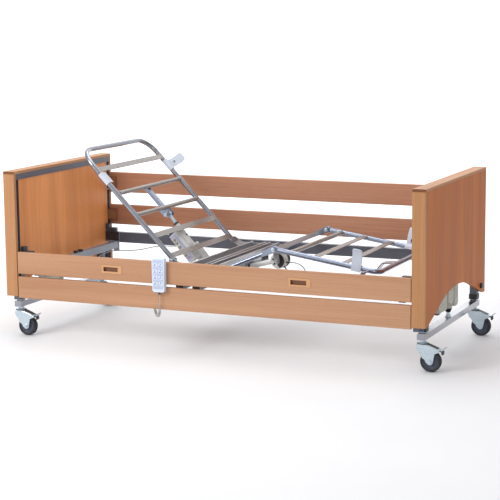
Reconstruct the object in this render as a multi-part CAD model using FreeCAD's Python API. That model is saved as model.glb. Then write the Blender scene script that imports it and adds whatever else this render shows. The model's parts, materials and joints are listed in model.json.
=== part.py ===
"""Electrically adjustable care bed: wooden bed ends, split side rails, folding steel platform.

Bed frame used below: X runs along the bed from the head end (-X) to the foot end (+X), Y across it
with the lowered side rail at -Y and the raised one at +Y, Z up from the floor, millimetres.
Shapes are modelled about the middle of the bed and moved at export to the middle of the outline,
which lies further back because the castors trail past the foot end and the handset hangs outside.
"""
import FreeCAD
import Part
import math
import os

V = FreeCAD.Vector

# ---------------------------------------------------------------- driving dimensions
BED_LENGTH = 2240.0
BED_WIDTH = 1000.0
BOARD_TOP = 856.0
BOARD_BOTTOM = 216.0
BOARD_DEPTH = 66.0
CAP_THICK = 14.0
CHEEK_THICK = 20.0
OUTER_PANEL_THICK = 16.0
INNER_PANEL_THICK = 10.0
ARCH_FOOT_Y = 466.0
ARCH_SIDE_Y = 235.0
ARCH_SIDE_Z = 298.0
ARCH_TOP_Z = 336.0

GUIDE_IN_Y = 455.0
GUIDE_DEPTH = 32.0
GUIDE_BOTTOM = 194.0
TOP_BAR_BOTTOM = 812.0
PANEL_BOTTOM = 341.0
CROSS_BAR_BOTTOM = 338.0
CROSS_BAR_HEIGHT = 30.0

LIFT_TRAVEL = 400.0
COLUMN_Y = 422.0
COLUMN_SIZE = 36.0
COLUMN_WALL = 2.0
COLUMN_BOTTOM = 206.0
SPINDLE_Y = -27.0
SPINDLE_R = 8.0
SPINDLE_TUBE_R = 13.0
LIFT_IN_X = 1046.0
LIFT_OUT_X = 1103.0
INNER_COLUMN_SIZE = 31.0
BASE_BAR_X = 40.0
BASE_BAR_Z = 30.0
BASE_BAR_BOTTOM = 150.0
BASE_BAR_HALF = 448.0

WHEEL_RADIUS = 50.0
WHEEL_WIDTH = 32.0
WHEEL_TRAIL = 40.0
FORK_TOP = 138.0
STEM_GAP = 0.3
AXLE_R = 5.0
PEDAL_PIN_R = 3.0
PEDAL_PIN_X = 74.0
PEDAL_PIN_Z = FORK_TOP - 34.0

RAIL_HEIGHT = 112.0
RAIL_THICK = 22.0
RAIL_INSET = 3.0
RAIL_END_GAP = 4.0
LOW_RAIL_BOTTOM = 207.0
TOP_RAIL_BOTTOM = 333.0
LOW_RAIL_TRAVEL = 252.0
TOP_RAIL_TRAVEL = 308.0
GRIP_X = 503.0
GRIP_LENGTH = 113.0
GRIP_HEIGHT = 40.0

SIDE_TUBE_Y = 440.0
SIDE_TUBE_WIDTH = 30.0
SIDE_TUBE_TOP = 422.0
SIDE_TUBE_HEIGHT = 57.0
FRAME_SPLIT_X = -220.0
END_TUBE_X = 985.0
PLATE_Y = 368.0
PLATE_THICK = 6.0
SECTION_TUBE_Y = 350.0
SECTION_TUBE_R = 12.5
SECTION_TUBE_WALL = 2.0

BACK_HINGE = V(-232.0, 0.0, 430.0)
BACK_LENGTH = 738.0
BACK_RAISED = 45.6
BACK_MOTOR_PIVOT = V(-205.0, 0.0, 345.0)
BACK_BRACKET_S = 268.0
BACK_BRACKET_DROP = 22.0
BACK_TUBE_R = 13.0
BACK_ROD_R = 9.0
SLAT_WIDTH = 28.0
BACK_TUBE_X = -165.0
BACK_TUBE_Z = 300.0

SEAT_FLOOR_Z = 392.0
SEAT_TOP_Z = 426.0
THIGH_HINGE = V(75.0, 0.0, 413.0)
KNEE = V(313.0, 0.0, 515.0)
LEG_END = V(844.0, 0.0, 434.0)
THIGH_MOTOR_PIVOT = V(195.0, 0.0, 402.0)
THIGH_ROD_ANCHOR = V(-40.0, 0.0, 340.0)
LEG_STRIP_S = 429.0
FAR_STRIP_SHIFT = 28.0
STRIP_WALL = 4.0
STRIP_HALF = 24.0
RAISED_STRIP = [(8, 12), (30, 18), (52, 30), (70, 47), (82, 68)]
FOLDED_STRIP = [(6, 13), (24, 12), (38, 9), (43, 1)]
LEG_STRIP = [(17, -14), (17.5, 30), (20, 58), (27, 80), (38, 98)]
KNUCKLE_R = 17.0
KNUCKLE_HALF = 12.5
KNEE_BOLT_R = 5.0
GLIDE_Z = 442.5
GLIDE_R = 9.0

HINGE_PIN_R = 6.0
RUNNING_GAP = 0.05

HANDSET_X = -231.0
HANDSET_WIDTH = 70.0
HANDSET_THICK = 27.0
HANDSET_TOP = 466.0
HANDSET_BOTTOM = 297.0
HOOK_GAP = 3.0
GLAND_LENGTH = 12.0
KEY_ROWS = 4
KEY_PITCH = 31.0

LEAD_R = 3.0
CURL_R = 7.0
MOTOR_LEAD_R = 2.5

PEDAL_REACH = 112.0
BUFFER_REACH = 12.0

# ---------------------------------------------------------------- worked out from them
HALF_L = BED_LENGTH / 2
HALF_W = BED_WIDTH / 2
BASE_X = HALF_L - BOARD_DEPTH / 2 - 1.0
INNER_FACE_X = HALF_L - BOARD_DEPTH
RAIL_HALF = INNER_FACE_X - RAIL_END_GAP
RAIL_OUT = HALF_W - RAIL_INSET
RAIL_IN = RAIL_OUT - RAIL_THICK
CAVITY_IN_X = INNER_FACE_X + 3.0 + INNER_PANEL_THICK
CAVITY_OUT_X = HALF_L - OUTER_PANEL_THICK
BAR_TOP = BASE_BAR_BOTTOM + BASE_BAR_Z
CAP_BOTTOM = BOARD_TOP - CAP_THICK
SIDE_TUBE_BOTTOM = SIDE_TUBE_TOP - SIDE_TUBE_HEIGHT
HANDSET_BACK_Y = -RAIL_OUT - HOOK_GAP
HANDSET_FRONT_Y = HANDSET_BACK_Y - HANDSET_THICK
CORD_Y = HANDSET_BACK_Y - HANDSET_THICK / 2
GUIDE_OUT_Y = HALF_W - CHEEK_THICK
SPINDLE_TOP = COLUMN_BOTTOM + LIFT_TRAVEL + 36.0

# the outline's middle, seen from the bed's own middle
OUTLINE_X = (BASE_X + PEDAL_REACH - HALF_L - BUFFER_REACH) / 2
OUTLINE_Y = (HALF_W + HANDSET_FRONT_Y - 2.0) / 2

X_AXIS, Y_AXIS, Z_AXIS = V(1, 0, 0), V(0, 1, 0), V(0, 0, 1)


# ---------------------------------------------------------------- small helpers
def box(x0, x1, y0, y1, z0, z1):
    """Box between two corners, given axis by axis in either order."""
    lo = V(min(x0, x1), min(y0, y1), min(z0, z1))
    return Part.makeBox(abs(x1 - x0), abs(y1 - y0), abs(z1 - z0), lo)


def cylinder(centre, axis, radius, length):
    """Cylinder centred on a point, with its axis along a direction."""
    unit = V(axis).normalize()
    return Part.makeCylinder(radius, length, centre - unit * (length / 2), unit)


def rod(start, end, radius):
    """Cylinder from one point to another."""
    run = end - start
    return Part.makeCylinder(radius, run.Length, start, run)


def fuse(shapes):
    """One solid from touching or overlapping shapes."""
    result = shapes[0]
    for shape in shapes[1:]:
        result = result.fuse(shape)
    return result.removeSplitter()


def turned(shape, angle, centre):
    """Copy of a shape, turned about an axis parallel to Y; positive lifts its -X end."""
    copy = shape.copy()
    copy.rotate(centre, Y_AXIS, angle)
    return copy


def side_profile(points, y0, y1):
    """Flat plate with an outline given as (x, z) points, from y0 to y1."""
    face = Part.Face(Part.makePolygon([V(x, y0, z) for x, z in points + points[:1]]))
    return face.extrude(V(0, y1 - y0, 0))


def link_plate(ends, radius, y0, y1):
    """Plate with round ends about the first and last of some (x, z) points."""
    pieces = []
    for a, b in zip(ends, ends[1:]):
        run = V(b[0] - a[0], 0, b[1] - a[1])
        side = V(-run.z, 0, run.x).normalize() * radius
        corners = [(a[0] + side.x, a[1] + side.z), (b[0] + side.x, b[1] + side.z),
                   (b[0] - side.x, b[1] - side.z), (a[0] - side.x, a[1] - side.z)]
        pieces.append(side_profile(corners, y0, y1))
    for x, z in ends:
        pieces.append(cylinder(V(x, (y0 + y1) / 2, z), Y_AXIS, radius, abs(y1 - y0)))
    return fuse(pieces)


def hollow_box(x0, x1, y0, y1, z0, z1, wall, along):
    """Rectangular tube, open at both ends of one axis."""
    inset = {"x": (0, wall, wall), "y": (wall, 0, wall), "z": (wall, wall, 0)}[along]
    over = {"x": (1, 0, 0), "y": (0, 1, 0), "z": (0, 0, 1)}[along]
    inner = box(x0 + inset[0] - over[0], x1 - inset[0] + over[0],
                y0 + inset[1] - over[1], y1 - inset[1] + over[1],
                z0 + inset[2] - over[2], z1 - inset[2] + over[2])
    return box(x0, x1, y0, y1, z0, z1).cut(inner)


def rounded(shape, radius, axis):
    """Round the edges of a box-like shape that run along one axis."""
    edges = [e for e in shape.Edges
             if len(e.Vertexes) == 2
             and abs(abs((e.Vertexes[1].Point - e.Vertexes[0].Point).normalize() * axis) - 1) < 1e-6]
    return shape.makeFillet(radius, edges)


def arc_path(points, radii):
    """Wire of straight runs joined by tangent arcs, one radius for each inner point."""
    edges = []
    start = points[0]
    for i in range(1, len(points) - 1):
        corner = points[i]
        back = (points[i - 1] - corner).normalize()
        ahead = (points[i + 1] - corner).normalize()
        turn = math.pi - back.getAngle(ahead)
        setback = radii[i - 1] * math.tan(turn / 2)
        first, last = corner + back * setback, corner + ahead * setback
        bisector = (back + ahead).normalize()
        centre = corner + bisector * (radii[i - 1] / math.cos(turn / 2))
        middle = centre - bisector * radii[i - 1]
        edges.append(Part.LineSegment(start, first).toShape())
        edges.append(Part.Arc(first, middle, last).toShape())
        start = last
    edges.append(Part.LineSegment(start, points[-1]).toShape())
    return Part.Wire(edges)


def sweep(path, radius):
    """Solid round bar along a wire."""
    start = path.Edges[0].valueAt(path.Edges[0].FirstParameter)
    tangent = path.Edges[0].tangentAt(path.Edges[0].FirstParameter)
    ring = Part.Wire([Part.Circle(start, tangent, radius).toShape()])
    return path.makePipeShell([ring], True, False)


def bent_tube(points, bend, radius, wall):
    """Round steel tube with the same bend radius at every corner."""
    path = arc_path(points, [bend] * (len(points) - 2))
    return sweep(path, radius).cut(sweep(path, radius - wall))


def cord(name, points, radius):
    """Plain solid of a flexible lead, with arcs as large as its runs allow."""
    radii = []
    for before, corner, after in zip(points, points[1:], points[2:]):
        turn = math.pi - (before - corner).getAngle(after - corner)
        run = min((corner - before).Length, (after - corner).Length)
        radii.append(0.45 * run / math.tan(turn / 2))
    path = arc_path(points, radii)
    solid = sweep(path, radius)
    ratio = solid.Volume / (math.pi * radius ** 2 * path.Length)
    print("%s: length %.0f, volume ratio %.3f, radii %s"
          % (name, path.Length, ratio, " ".join("%.0f" % r for r in radii)))
    return solid


def mirrored(shape):
    """Copy on the other side of the bed's long middle plane."""
    return shape.mirror(V(0, 0, 0), Y_AXIS)


def both_sides(shape):
    """A shape and its mirror image across the bed, as one list."""
    return [shape, mirrored(shape)]


def at_end(shape, end):
    """Board and frame shapes are modelled for the foot end; the head end mirrors them."""
    return shape if end > 0 else shape.mirror(V(0, 0, 0), X_AXIS)


def export(name, shapes):
    """Write one node's STEP file, moved to the middle of the whole outline."""
    body = Part.makeCompound(shapes) if len(shapes) > 1 else shapes[0].copy()
    body.translate(V(-OUTLINE_X, -OUTLINE_Y, 0))
    body.exportStep("parts/%s.step" % name)


# ---------------------------------------------------------------- bed ends
def outer_panel():
    """Wooden outer board with an arched cut-out for the lifting gear."""
    y = HALF_W - CHEEK_THICK
    board = box(CAVITY_OUT_X, HALF_L, -y, y, BOARD_BOTTOM, CAP_BOTTOM)
    x0 = CAVITY_OUT_X - 1
    bottom = BOARD_BOTTOM - 1
    points = [V(x0, -ARCH_FOOT_Y, bottom), V(x0, -ARCH_SIDE_Y, ARCH_SIDE_Z),
              V(x0, ARCH_SIDE_Y, ARCH_SIDE_Z), V(x0, ARCH_FOOT_Y, bottom)]
    edges = [Part.LineSegment(points[0], points[1]).toShape(),
             Part.Arc(points[1], V(x0, 0, ARCH_TOP_Z), points[2]).toShape(),
             Part.LineSegment(points[2], points[3]).toShape(),
             Part.LineSegment(points[3], points[0]).toShape()]
    arch = Part.Face(Part.Wire(edges)).extrude(V(OUTER_PANEL_THICK + 2, 0, 0))
    return board.cut(arch)


def inner_panel():
    """Thin wooden board between the two rail guides, stopping above the lift motor."""
    x0 = INNER_FACE_X + 3.0
    return box(x0, x0 + INNER_PANEL_THICK, -GUIDE_IN_Y, GUIDE_IN_Y, PANEL_BOTTOM, TOP_BAR_BOTTOM)


def board_edges():
    """Two side cheeks and the top cap, as separate solids."""
    cheek = box(INNER_FACE_X, HALF_L, HALF_W - CHEEK_THICK, HALF_W, BOARD_BOTTOM, CAP_BOTTOM)
    cap = box(INNER_FACE_X, HALF_L, -HALF_W, HALF_W, CAP_BOTTOM, BOARD_TOP)
    return both_sides(rounded(cheek, 3, Z_AXIS)) + [rounded(rounded(cap, 4, Z_AXIS), 1.5, Y_AXIS)]


def end_frame():
    """Welded steel frame in the board: top bar, two outer columns and a lower cross bar."""
    x0, x1 = BASE_X - COLUMN_SIZE / 2, BASE_X + COLUMN_SIZE / 2
    y0, y1 = COLUMN_Y - COLUMN_SIZE / 2, COLUMN_Y + COLUMN_SIZE / 2
    column = hollow_box(x0, x1, y0, y1, COLUMN_BOTTOM, TOP_BAR_BOTTOM, COLUMN_WALL, "z")
    top = box(INNER_FACE_X + 1, CAVITY_OUT_X, -GUIDE_OUT_Y, GUIDE_OUT_Y, TOP_BAR_BOTTOM, CAP_BOTTOM)
    low = hollow_box(x0, x1, -y0, y0, CROSS_BAR_BOTTOM, CROSS_BAR_BOTTOM + CROSS_BAR_HEIGHT, 2, "y")
    frame = fuse([top, column, mirrored(column), low])
    foot, head = V(BASE_X, SPINDLE_Y, CROSS_BAR_BOTTOM), V(BASE_X, SPINDLE_Y, SPINDLE_TOP + 20)
    tube = rod(foot, head, SPINDLE_TUBE_R)
    return fuse([frame, tube]).cut(rod(foot - Z_AXIS, head - Z_AXIS * 3, SPINDLE_TUBE_R - 2))


def rail_guide():
    """U-shaped guide for the rail sliders, open towards the middle of the bed."""
    x0 = INNER_FACE_X + 3.0
    channel = box(x0, x0 + GUIDE_DEPTH, GUIDE_IN_Y + 0.5, GUIDE_OUT_Y, GUIDE_BOTTOM, TOP_BAR_BOTTOM)
    slot = box(x0 - 1, x0 + GUIDE_DEPTH - 2, GUIDE_IN_Y + 2.5, GUIDE_OUT_Y - 2,
               GUIDE_BOTTOM - 1, TOP_BAR_BOTTOM + 1)
    return channel.cut(slot)


def column_collar():
    """Plastic bush at the lower end of an outer column, round the inner column."""
    wide, bore = COLUMN_SIZE / 2 + 4, INNER_COLUMN_SIZE / 2 + 0.4
    z0, z1 = 188.0, 214.0
    sleeve = box(BASE_X - wide, BASE_X + wide, COLUMN_Y - wide, COLUMN_Y + wide, z0, z1)
    sleeve = rounded(sleeve, 5, Z_AXIS)
    hole = box(BASE_X - bore, BASE_X + bore, COLUMN_Y - bore, COLUMN_Y + bore, z0 - 1, z1 + 1)
    half = COLUMN_SIZE / 2
    seat = box(BASE_X - half, BASE_X + half, COLUMN_Y - half, COLUMN_Y + half, COLUMN_BOTTOM, z1 + 1)
    return sleeve.cut(hole).cut(seat)


def bumper():
    """Round wall buffer near one lower corner of a bed end's outer face."""
    disc = cylinder(V(HALF_L + BUFFER_REACH / 2, 420, 258), X_AXIS, 14, BUFFER_REACH)
    return disc.makeFillet(4, [e for e in disc.Edges if e.BoundBox.XMin > HALF_L + BUFFER_REACH - 1])


def lift_motor():
    """Vertical lifting actuator: head block under the cross bar, motor can and lead block."""
    axis = V(BASE_X, SPINDLE_Y, 0)
    block = box(LIFT_IN_X, LIFT_OUT_X, -68, 16, 240, CROSS_BAR_BOTTOM)
    motor = rounded(box(LIFT_IN_X, LIFT_OUT_X, 24, 86, 220, 334), 16, Z_AXIS)
    neck = rod(axis + Z_AXIS * 222, axis + Z_AXIS * 242, 17)
    gland = rod(axis + Z_AXIS * 199, axis + Z_AXIS * 224, 14)
    bridge = box(LIFT_IN_X + 4, LIFT_OUT_X - 5, 14, 30, 256, 322)
    bore = rod(axis + Z_AXIS * 190, axis + Z_AXIS * (CROSS_BAR_BOTTOM + 1), SPINDLE_R + 0.4)
    return fuse([rounded(block, 8, Z_AXIS), motor, neck, gland, bridge]).cut(bore)


def lift_control_box():
    """Moulded box beside the lifting actuator that holds its limit switches."""
    return rounded(box(LIFT_IN_X + 4, LIFT_OUT_X - 1, -226, -92, 228, CROSS_BAR_BOTTOM - 1), 10, Z_AXIS)


# ---------------------------------------------------------------- bases and castors
def base_frame():
    """Cross tube, the two inner lifting columns that stand on it, and its plastic end plugs."""
    x0, x1 = BASE_X - BASE_BAR_X / 2, BASE_X + BASE_BAR_X / 2
    tube = hollow_box(x0, x1, -BASE_BAR_HALF, BASE_BAR_HALF, BASE_BAR_BOTTOM, BAR_TOP, 2.5, "y")
    plug = box(x0, x1, BASE_BAR_HALF, BASE_BAR_HALF + 4, BASE_BAR_BOTTOM, BAR_TOP)
    return [tube] + both_sides(inner_column()) + both_sides(rounded(plug, 3, Y_AXIS))


def inner_column():
    """Inner square tube that stands on the base bar and slides in the outer column."""
    half = INNER_COLUMN_SIZE / 2
    return hollow_box(BASE_X - half, BASE_X + half, COLUMN_Y - half, COLUMN_Y + half,
                      BAR_TOP, TOP_BAR_BOTTOM - 14, 2, "z")


def lift_spindle():
    """Lifting rod with its clevis on the base bar."""
    axis = V(BASE_X, SPINDLE_Y, 0)
    foot = rod(axis + Z_AXIS * BAR_TOP, axis + Z_AXIS * (BAR_TOP + 6), 14)
    collar = rod(axis + Z_AXIS * (BAR_TOP + 5), axis + Z_AXIS * (BAR_TOP + 14), 11)
    shaft = rod(axis + Z_AXIS * (BAR_TOP + 13), axis + Z_AXIS * SPINDLE_TOP, SPINDLE_R)
    return fuse([foot, collar, shaft])


def castor_fork(x, y):
    """Pressed fork: swivel head, two cheeks and the hood arm over the wheel."""
    stem = rod(V(x, y, FORK_TOP - 2), V(x, y, BASE_BAR_BOTTOM - STEM_GAP), 17)
    head = cylinder(V(x, y, FORK_TOP - 7), Z_AXIS, 25, 14)
    outline = [(x - 24, FORK_TOP - 6), (x + 22, FORK_TOP - 8), (x + 62, FORK_TOP - 22),
               (x + 84, FORK_TOP - 30), (x + 80, FORK_TOP - 40), (x + 52, FORK_TOP - 44),
               (x + WHEEL_TRAIL + 13, WHEEL_RADIUS - 8), (x + WHEEL_TRAIL - 5, WHEEL_RADIUS - 14),
               (x + 12, WHEEL_RADIUS + 10), (x - 14, WHEEL_RADIUS + 40), (x - 24, FORK_TOP - 24)]
    gap = WHEEL_WIDTH / 2 + 3
    cheeks = [side_profile(outline, y + side * gap, y + side * (gap + 4)) for side in (-1, 1)]
    hood = side_profile([(x - 24, FORK_TOP - 10), (x + 22, FORK_TOP - 10), (x + 62, FORK_TOP - 22),
                         (x + 61, FORK_TOP - 26),
                         (x + 20, FORK_TOP - 14), (x - 24, FORK_TOP - 14)], y - gap - 4, y + gap + 4)
    pin = cylinder(V(x + WHEEL_TRAIL, y, WHEEL_RADIUS), Y_AXIS, AXLE_R, 2 * gap + 14)
    nut = cylinder(V(x + WHEEL_TRAIL, y - gap - 6, WHEEL_RADIUS), Y_AXIS, 9, 5)
    cap = cylinder(V(x + WHEEL_TRAIL, y + gap + 6, WHEEL_RADIUS), Y_AXIS, 9, 5)
    return fuse([stem, head, hood] + cheeks + [pin, nut, cap])


def castor_wheel(x, y):
    """Tyre and hub in one running piece, bored for the axle."""
    centre = V(x + WHEEL_TRAIL, y, WHEEL_RADIUS)
    tyre = cylinder(centre, Y_AXIS, WHEEL_RADIUS, WHEEL_WIDTH)
    tyre = tyre.makeFillet(8, tyre.Edges)
    recess = cylinder(centre, Y_AXIS, 31, WHEEL_WIDTH + 2).cut(cylinder(centre, Y_AXIS, 31, 20))
    hub = cylinder(centre, Y_AXIS, 11, WHEEL_WIDTH + 4)
    return fuse([tyre.cut(recess), hub]).cut(cylinder(centre, Y_AXIS, AXLE_R + RUNNING_GAP, 60))


def castor_pedal(x, y):
    """Foot brake lever hinged at the end of the hood, with an upper and a lower tab."""
    px, pz = x + PEDAL_PIN_X, PEDAL_PIN_Z
    lever = link_plate([(px, pz), (px + 18, pz - 4)], 6, y - 13, y + 13)
    up_tab = side_profile([(px + 10, pz + 2), (px + 22, pz - 2), (x + PEDAL_REACH, pz + 16),
                           (x + PEDAL_REACH - 3, pz + 18)], y - 13, y + 13)
    down_tab = side_profile([(px + 14, pz - 6), (px + 24, pz - 4), (px + 26, pz - 22),
                             (px + 16, pz - 22)], y - 11, y + 11)
    bore = cylinder(V(px, y, pz), Y_AXIS, PEDAL_PIN_R + RUNNING_GAP, 60)
    return fuse([lever, up_tab, down_tab]).cut(bore)


def pedal_pin(x, y):
    """Pin through both fork cheeks that carries the brake lever."""
    gap = WHEEL_WIDTH / 2 + 3
    return cylinder(V(x + PEDAL_PIN_X, y, PEDAL_PIN_Z), Y_AXIS, PEDAL_PIN_R, 2 * gap + 8)


# ---------------------------------------------------------------- side rails
def rail_beam(side, bottom):
    """Wooden beam with a rail slider at each end."""
    y0, y1 = side * RAIL_IN, side * RAIL_OUT
    beam = box(-RAIL_HALF, RAIL_HALF, y0, y1, bottom, bottom + RAIL_HEIGHT)
    pieces = [rounded(beam, 4, X_AXIS)]
    for end in (-1, 1):
        plate = box(end * (RAIL_HALF - 46), end * RAIL_HALF, side * (RAIL_IN - 6), side * RAIL_IN,
                    bottom + 22, bottom + RAIL_HEIGHT - 22)
        tongue = box(end * RAIL_HALF, end * (INNER_FACE_X + 28), side * (RAIL_IN - 14),
                     side * (RAIL_IN - 1), bottom + 26, bottom + RAIL_HEIGHT - 26)
        root = box(end * (RAIL_HALF - 46), end * RAIL_HALF, side * (RAIL_IN - 14),
                   side * (RAIL_IN - 6), bottom + 30, bottom + RAIL_HEIGHT - 30)
        pieces.append(fuse([plate, root, tongue]))
    return pieces


def grip_pocket(side, x):
    """Space that a finger grip takes up in the outer face of a beam."""
    z = TOP_RAIL_BOTTOM + RAIL_HEIGHT / 2 + (TOP_RAIL_TRAVEL if side > 0 else 0)
    return box(x - GRIP_LENGTH / 2 + 7, x + GRIP_LENGTH / 2 - 7, side * (RAIL_OUT - 14),
               side * (RAIL_OUT + 1), z - GRIP_HEIGHT / 2 + 6, z + GRIP_HEIGHT / 2 - 6)


def rail_grip(side, x):
    """Finger grip: raised frame round an open pocket, let into the beam."""
    z = TOP_RAIL_BOTTOM + RAIL_HEIGHT / 2 + (TOP_RAIL_TRAVEL if side > 0 else 0)
    half_l, half_h = GRIP_LENGTH / 2, GRIP_HEIGHT / 2
    frame = box(x - half_l, x + half_l, side * RAIL_OUT, side * (RAIL_OUT + 2.5), z - half_h, z + half_h)
    frame = rounded(frame, 5, Y_AXIS)
    tub = grip_pocket(side, x).common(box(x - half_l, x + half_l, side * (RAIL_OUT - 14),
                                          side * RAIL_OUT, z - half_h, z + half_h))
    hollow = box(x - half_l + 10, x + half_l - 22, side * (RAIL_OUT - 11.5), side * (RAIL_OUT + 4),
                 z - half_h + 9, z + half_h - 9)
    return fuse([frame, tub]).cut(hollow)


# ---------------------------------------------------------------- fixed platform frame
def side_tube(x0, x1):
    """One long side tube of the platform frame."""
    return hollow_box(x0, x1, SIDE_TUBE_Y - SIDE_TUBE_WIDTH / 2, SIDE_TUBE_Y + SIDE_TUBE_WIDTH / 2,
                      SIDE_TUBE_BOTTOM, SIDE_TUBE_TOP, 2, "x")


def cross_tube(x, z0, z1, width, half):
    """Tube across the platform frame."""
    return hollow_box(x - width / 2, x + width / 2, -half, half, z0, z1, 2, "y")


def head_frame():
    """Head half of the platform frame: side tubes and end cross tube with two stop knobs."""
    inner = SIDE_TUBE_Y - SIDE_TUBE_WIDTH / 2
    side = side_tube(-INNER_FACE_X - 2, FRAME_SPLIT_X)
    end = cross_tube(-END_TUBE_X, SIDE_TUBE_BOTTOM - 30, SIDE_TUBE_BOTTOM + 8, 30, inner)
    plate = box(-END_TUBE_X - 17, -END_TUBE_X + 17, inner - 6, inner,
                SIDE_TUBE_BOTTOM - 50, SIDE_TUBE_TOP + 2)
    knobs = [rod(V(-END_TUBE_X, y, SIDE_TUBE_BOTTOM + 8), V(-END_TUBE_X, y, SIDE_TUBE_BOTTOM + 20), 14)
             for y in (-24, 24)]
    return fuse(both_sides(side) + [end] + both_sides(plate) + knobs)


def foot_frame():
    """Foot half of the platform frame, with the coupling sleeves and the rod anchor lugs."""
    inner = SIDE_TUBE_Y - SIDE_TUBE_WIDTH / 2
    side = side_tube(FRAME_SPLIT_X, INNER_FACE_X + 2)
    end = cross_tube(END_TUBE_X, SIDE_TUBE_BOTTOM - 30, SIDE_TUBE_BOTTOM + 8, 30, inner)
    plate = box(END_TUBE_X - 17, END_TUBE_X + 17, inner - 6, inner,
                SIDE_TUBE_BOTTOM - 50, SIDE_TUBE_TOP + 2)
    mid = cross_tube(-75.0, 300.0, 330.0, 40, inner)
    hang = box(-95, -55, inner - 5, inner, 300, SIDE_TUBE_TOP)
    lug = link_plate([(-62, 318), (THIGH_ROD_ANCHOR.x, THIGH_ROD_ANCHOR.z)], 12, 18, 23)
    tubes = [end, mid, cross_tube(BACK_TUBE_X, BACK_TUBE_Z, BACK_TUBE_Z + 30, 40, inner)]
    hangs = [hang, box(BACK_TUBE_X - 20, BACK_TUBE_X + 20, inner - 5, inner, BACK_TUBE_Z, SIDE_TUBE_TOP)]
    pieces = both_sides(side) + tubes + both_sides(plate) + both_sides(lug)
    for piece in hangs:
        pieces += both_sides(piece)
    return fuse(pieces + back_motor_mount())


def frame_coupling():
    """Sleeve over the joint of two side tubes, with its clamping knob."""
    y0, y1 = SIDE_TUBE_Y - SIDE_TUBE_WIDTH / 2, SIDE_TUBE_Y + SIDE_TUBE_WIDTH / 2
    x0, x1 = FRAME_SPLIT_X - 45, FRAME_SPLIT_X + 45
    under = box(x0, x1, y0, y1, SIDE_TUBE_BOTTOM - 4, SIDE_TUBE_BOTTOM)
    outer = box(x0, x1, y1, y1 + 4, SIDE_TUBE_BOTTOM - 4, SIDE_TUBE_TOP - 8)
    knob = cylinder(V(FRAME_SPLIT_X - 22, SIDE_TUBE_Y, SIDE_TUBE_BOTTOM - 16), Z_AXIS, 15, 24)
    return fuse([under, outer, knob])


def corner_bracket(end):
    """Plastic corner piece on the side tube, holding the mattress corner."""
    x0, x1 = end * (INNER_FACE_X - 0.5), end * (INNER_FACE_X - 62)
    base = box(x0, x1, SIDE_TUBE_Y - 15, SIDE_TUBE_Y + 15, SIDE_TUBE_TOP, SIDE_TUBE_TOP + 22)
    if end > 0:
        return rounded(base, 4, Z_AXIS)
    post = box(x0, end * (INNER_FACE_X - 20), SIDE_TUBE_Y - 15, SIDE_TUBE_Y + 13,
               SIDE_TUBE_TOP + 16, SIDE_TUBE_TOP + 44)
    return fuse([rounded(base, 4, Z_AXIS), post])


def slide_strip(side):
    """Ribbed plastic strip on a side tube, under the glides of the leg section."""
    y0, y1 = side * (SIDE_TUBE_Y - 13), side * (SIDE_TUBE_Y + 13)
    return [box(x, x + 5, y0, y1, SIDE_TUBE_TOP, SIDE_TUBE_TOP + 9)
            for x in [905 + 10 * i for i in range(8)]] + [
                box(900, 986, y0, y1, SIDE_TUBE_TOP, SIDE_TUBE_TOP + 3)]


def seat_frame():
    """Fixed seat section: two hinge plates joined by two open channels."""
    plate = link_plate([(BACK_HINGE.x, BACK_HINGE.z), (BACK_HINGE.x + 45, 402.0),
                        (THIGH_HINGE.x - 20, 402.0), (THIGH_HINGE.x, THIGH_HINGE.z)],
                       16, PLATE_Y, PLATE_Y + PLATE_THICK)
    arm = box(-50, 30, PLATE_Y + PLATE_THICK, SIDE_TUBE_Y - SIDE_TUBE_WIDTH / 2, 388, 394)
    for hinge in (BACK_HINGE, THIGH_HINGE):
        plate = plate.cut(cylinder(hinge + Y_AXIS * PLATE_Y, Y_AXIS, HINGE_PIN_R + RUNNING_GAP, 40))
    channels = []
    for x0, x1 in ((-128, -40), (-26, 34)):
        tray = box(x0, x1, -PLATE_Y, PLATE_Y, SEAT_FLOOR_Z, SEAT_TOP_Z)
        well = box(x0 + 2, x1 - 2, -PLATE_Y - 1, PLATE_Y + 1, SEAT_FLOOR_Z + 2, SEAT_TOP_Z + 1)
        lips = [box(x0, x0 + 12, -PLATE_Y, PLATE_Y, SEAT_TOP_Z - 2, SEAT_TOP_Z),
                box(x1 - 12, x1, -PLATE_Y, PLATE_Y, SEAT_TOP_Z - 2, SEAT_TOP_Z)]
        channels += [tray.cut(well)] + lips
    return [fuse(channels + both_sides(plate) + both_sides(arm))]


def back_motor_mount():
    """Two lugs on their cross tube, with the backrest motor's hinge pin."""
    pivot = BACK_MOTOR_PIVOT
    start = (BACK_TUBE_X + 6, BACK_TUBE_Z + 15)
    lug = link_plate([start, (pivot.x, pivot.z)], 13, 37, 42)
    blank = box(BACK_TUBE_X - 20, BACK_TUBE_X + 20, -60, 60, BACK_TUBE_Z, BACK_TUBE_Z + 30)
    return both_sides(lug.cut(blank)) + [cylinder(pivot, Y_AXIS, HINGE_PIN_R, 84)]


# ---------------------------------------------------------------- backrest
def back_local(shape):
    """Backrest shapes are modelled lying flat towards -X, then raised."""
    return turned(shape, BACK_RAISED, BACK_HINGE)


def back_x(s):
    """X of a point at a distance along the flat backrest from its hinge."""
    return BACK_HINGE.x - s


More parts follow.
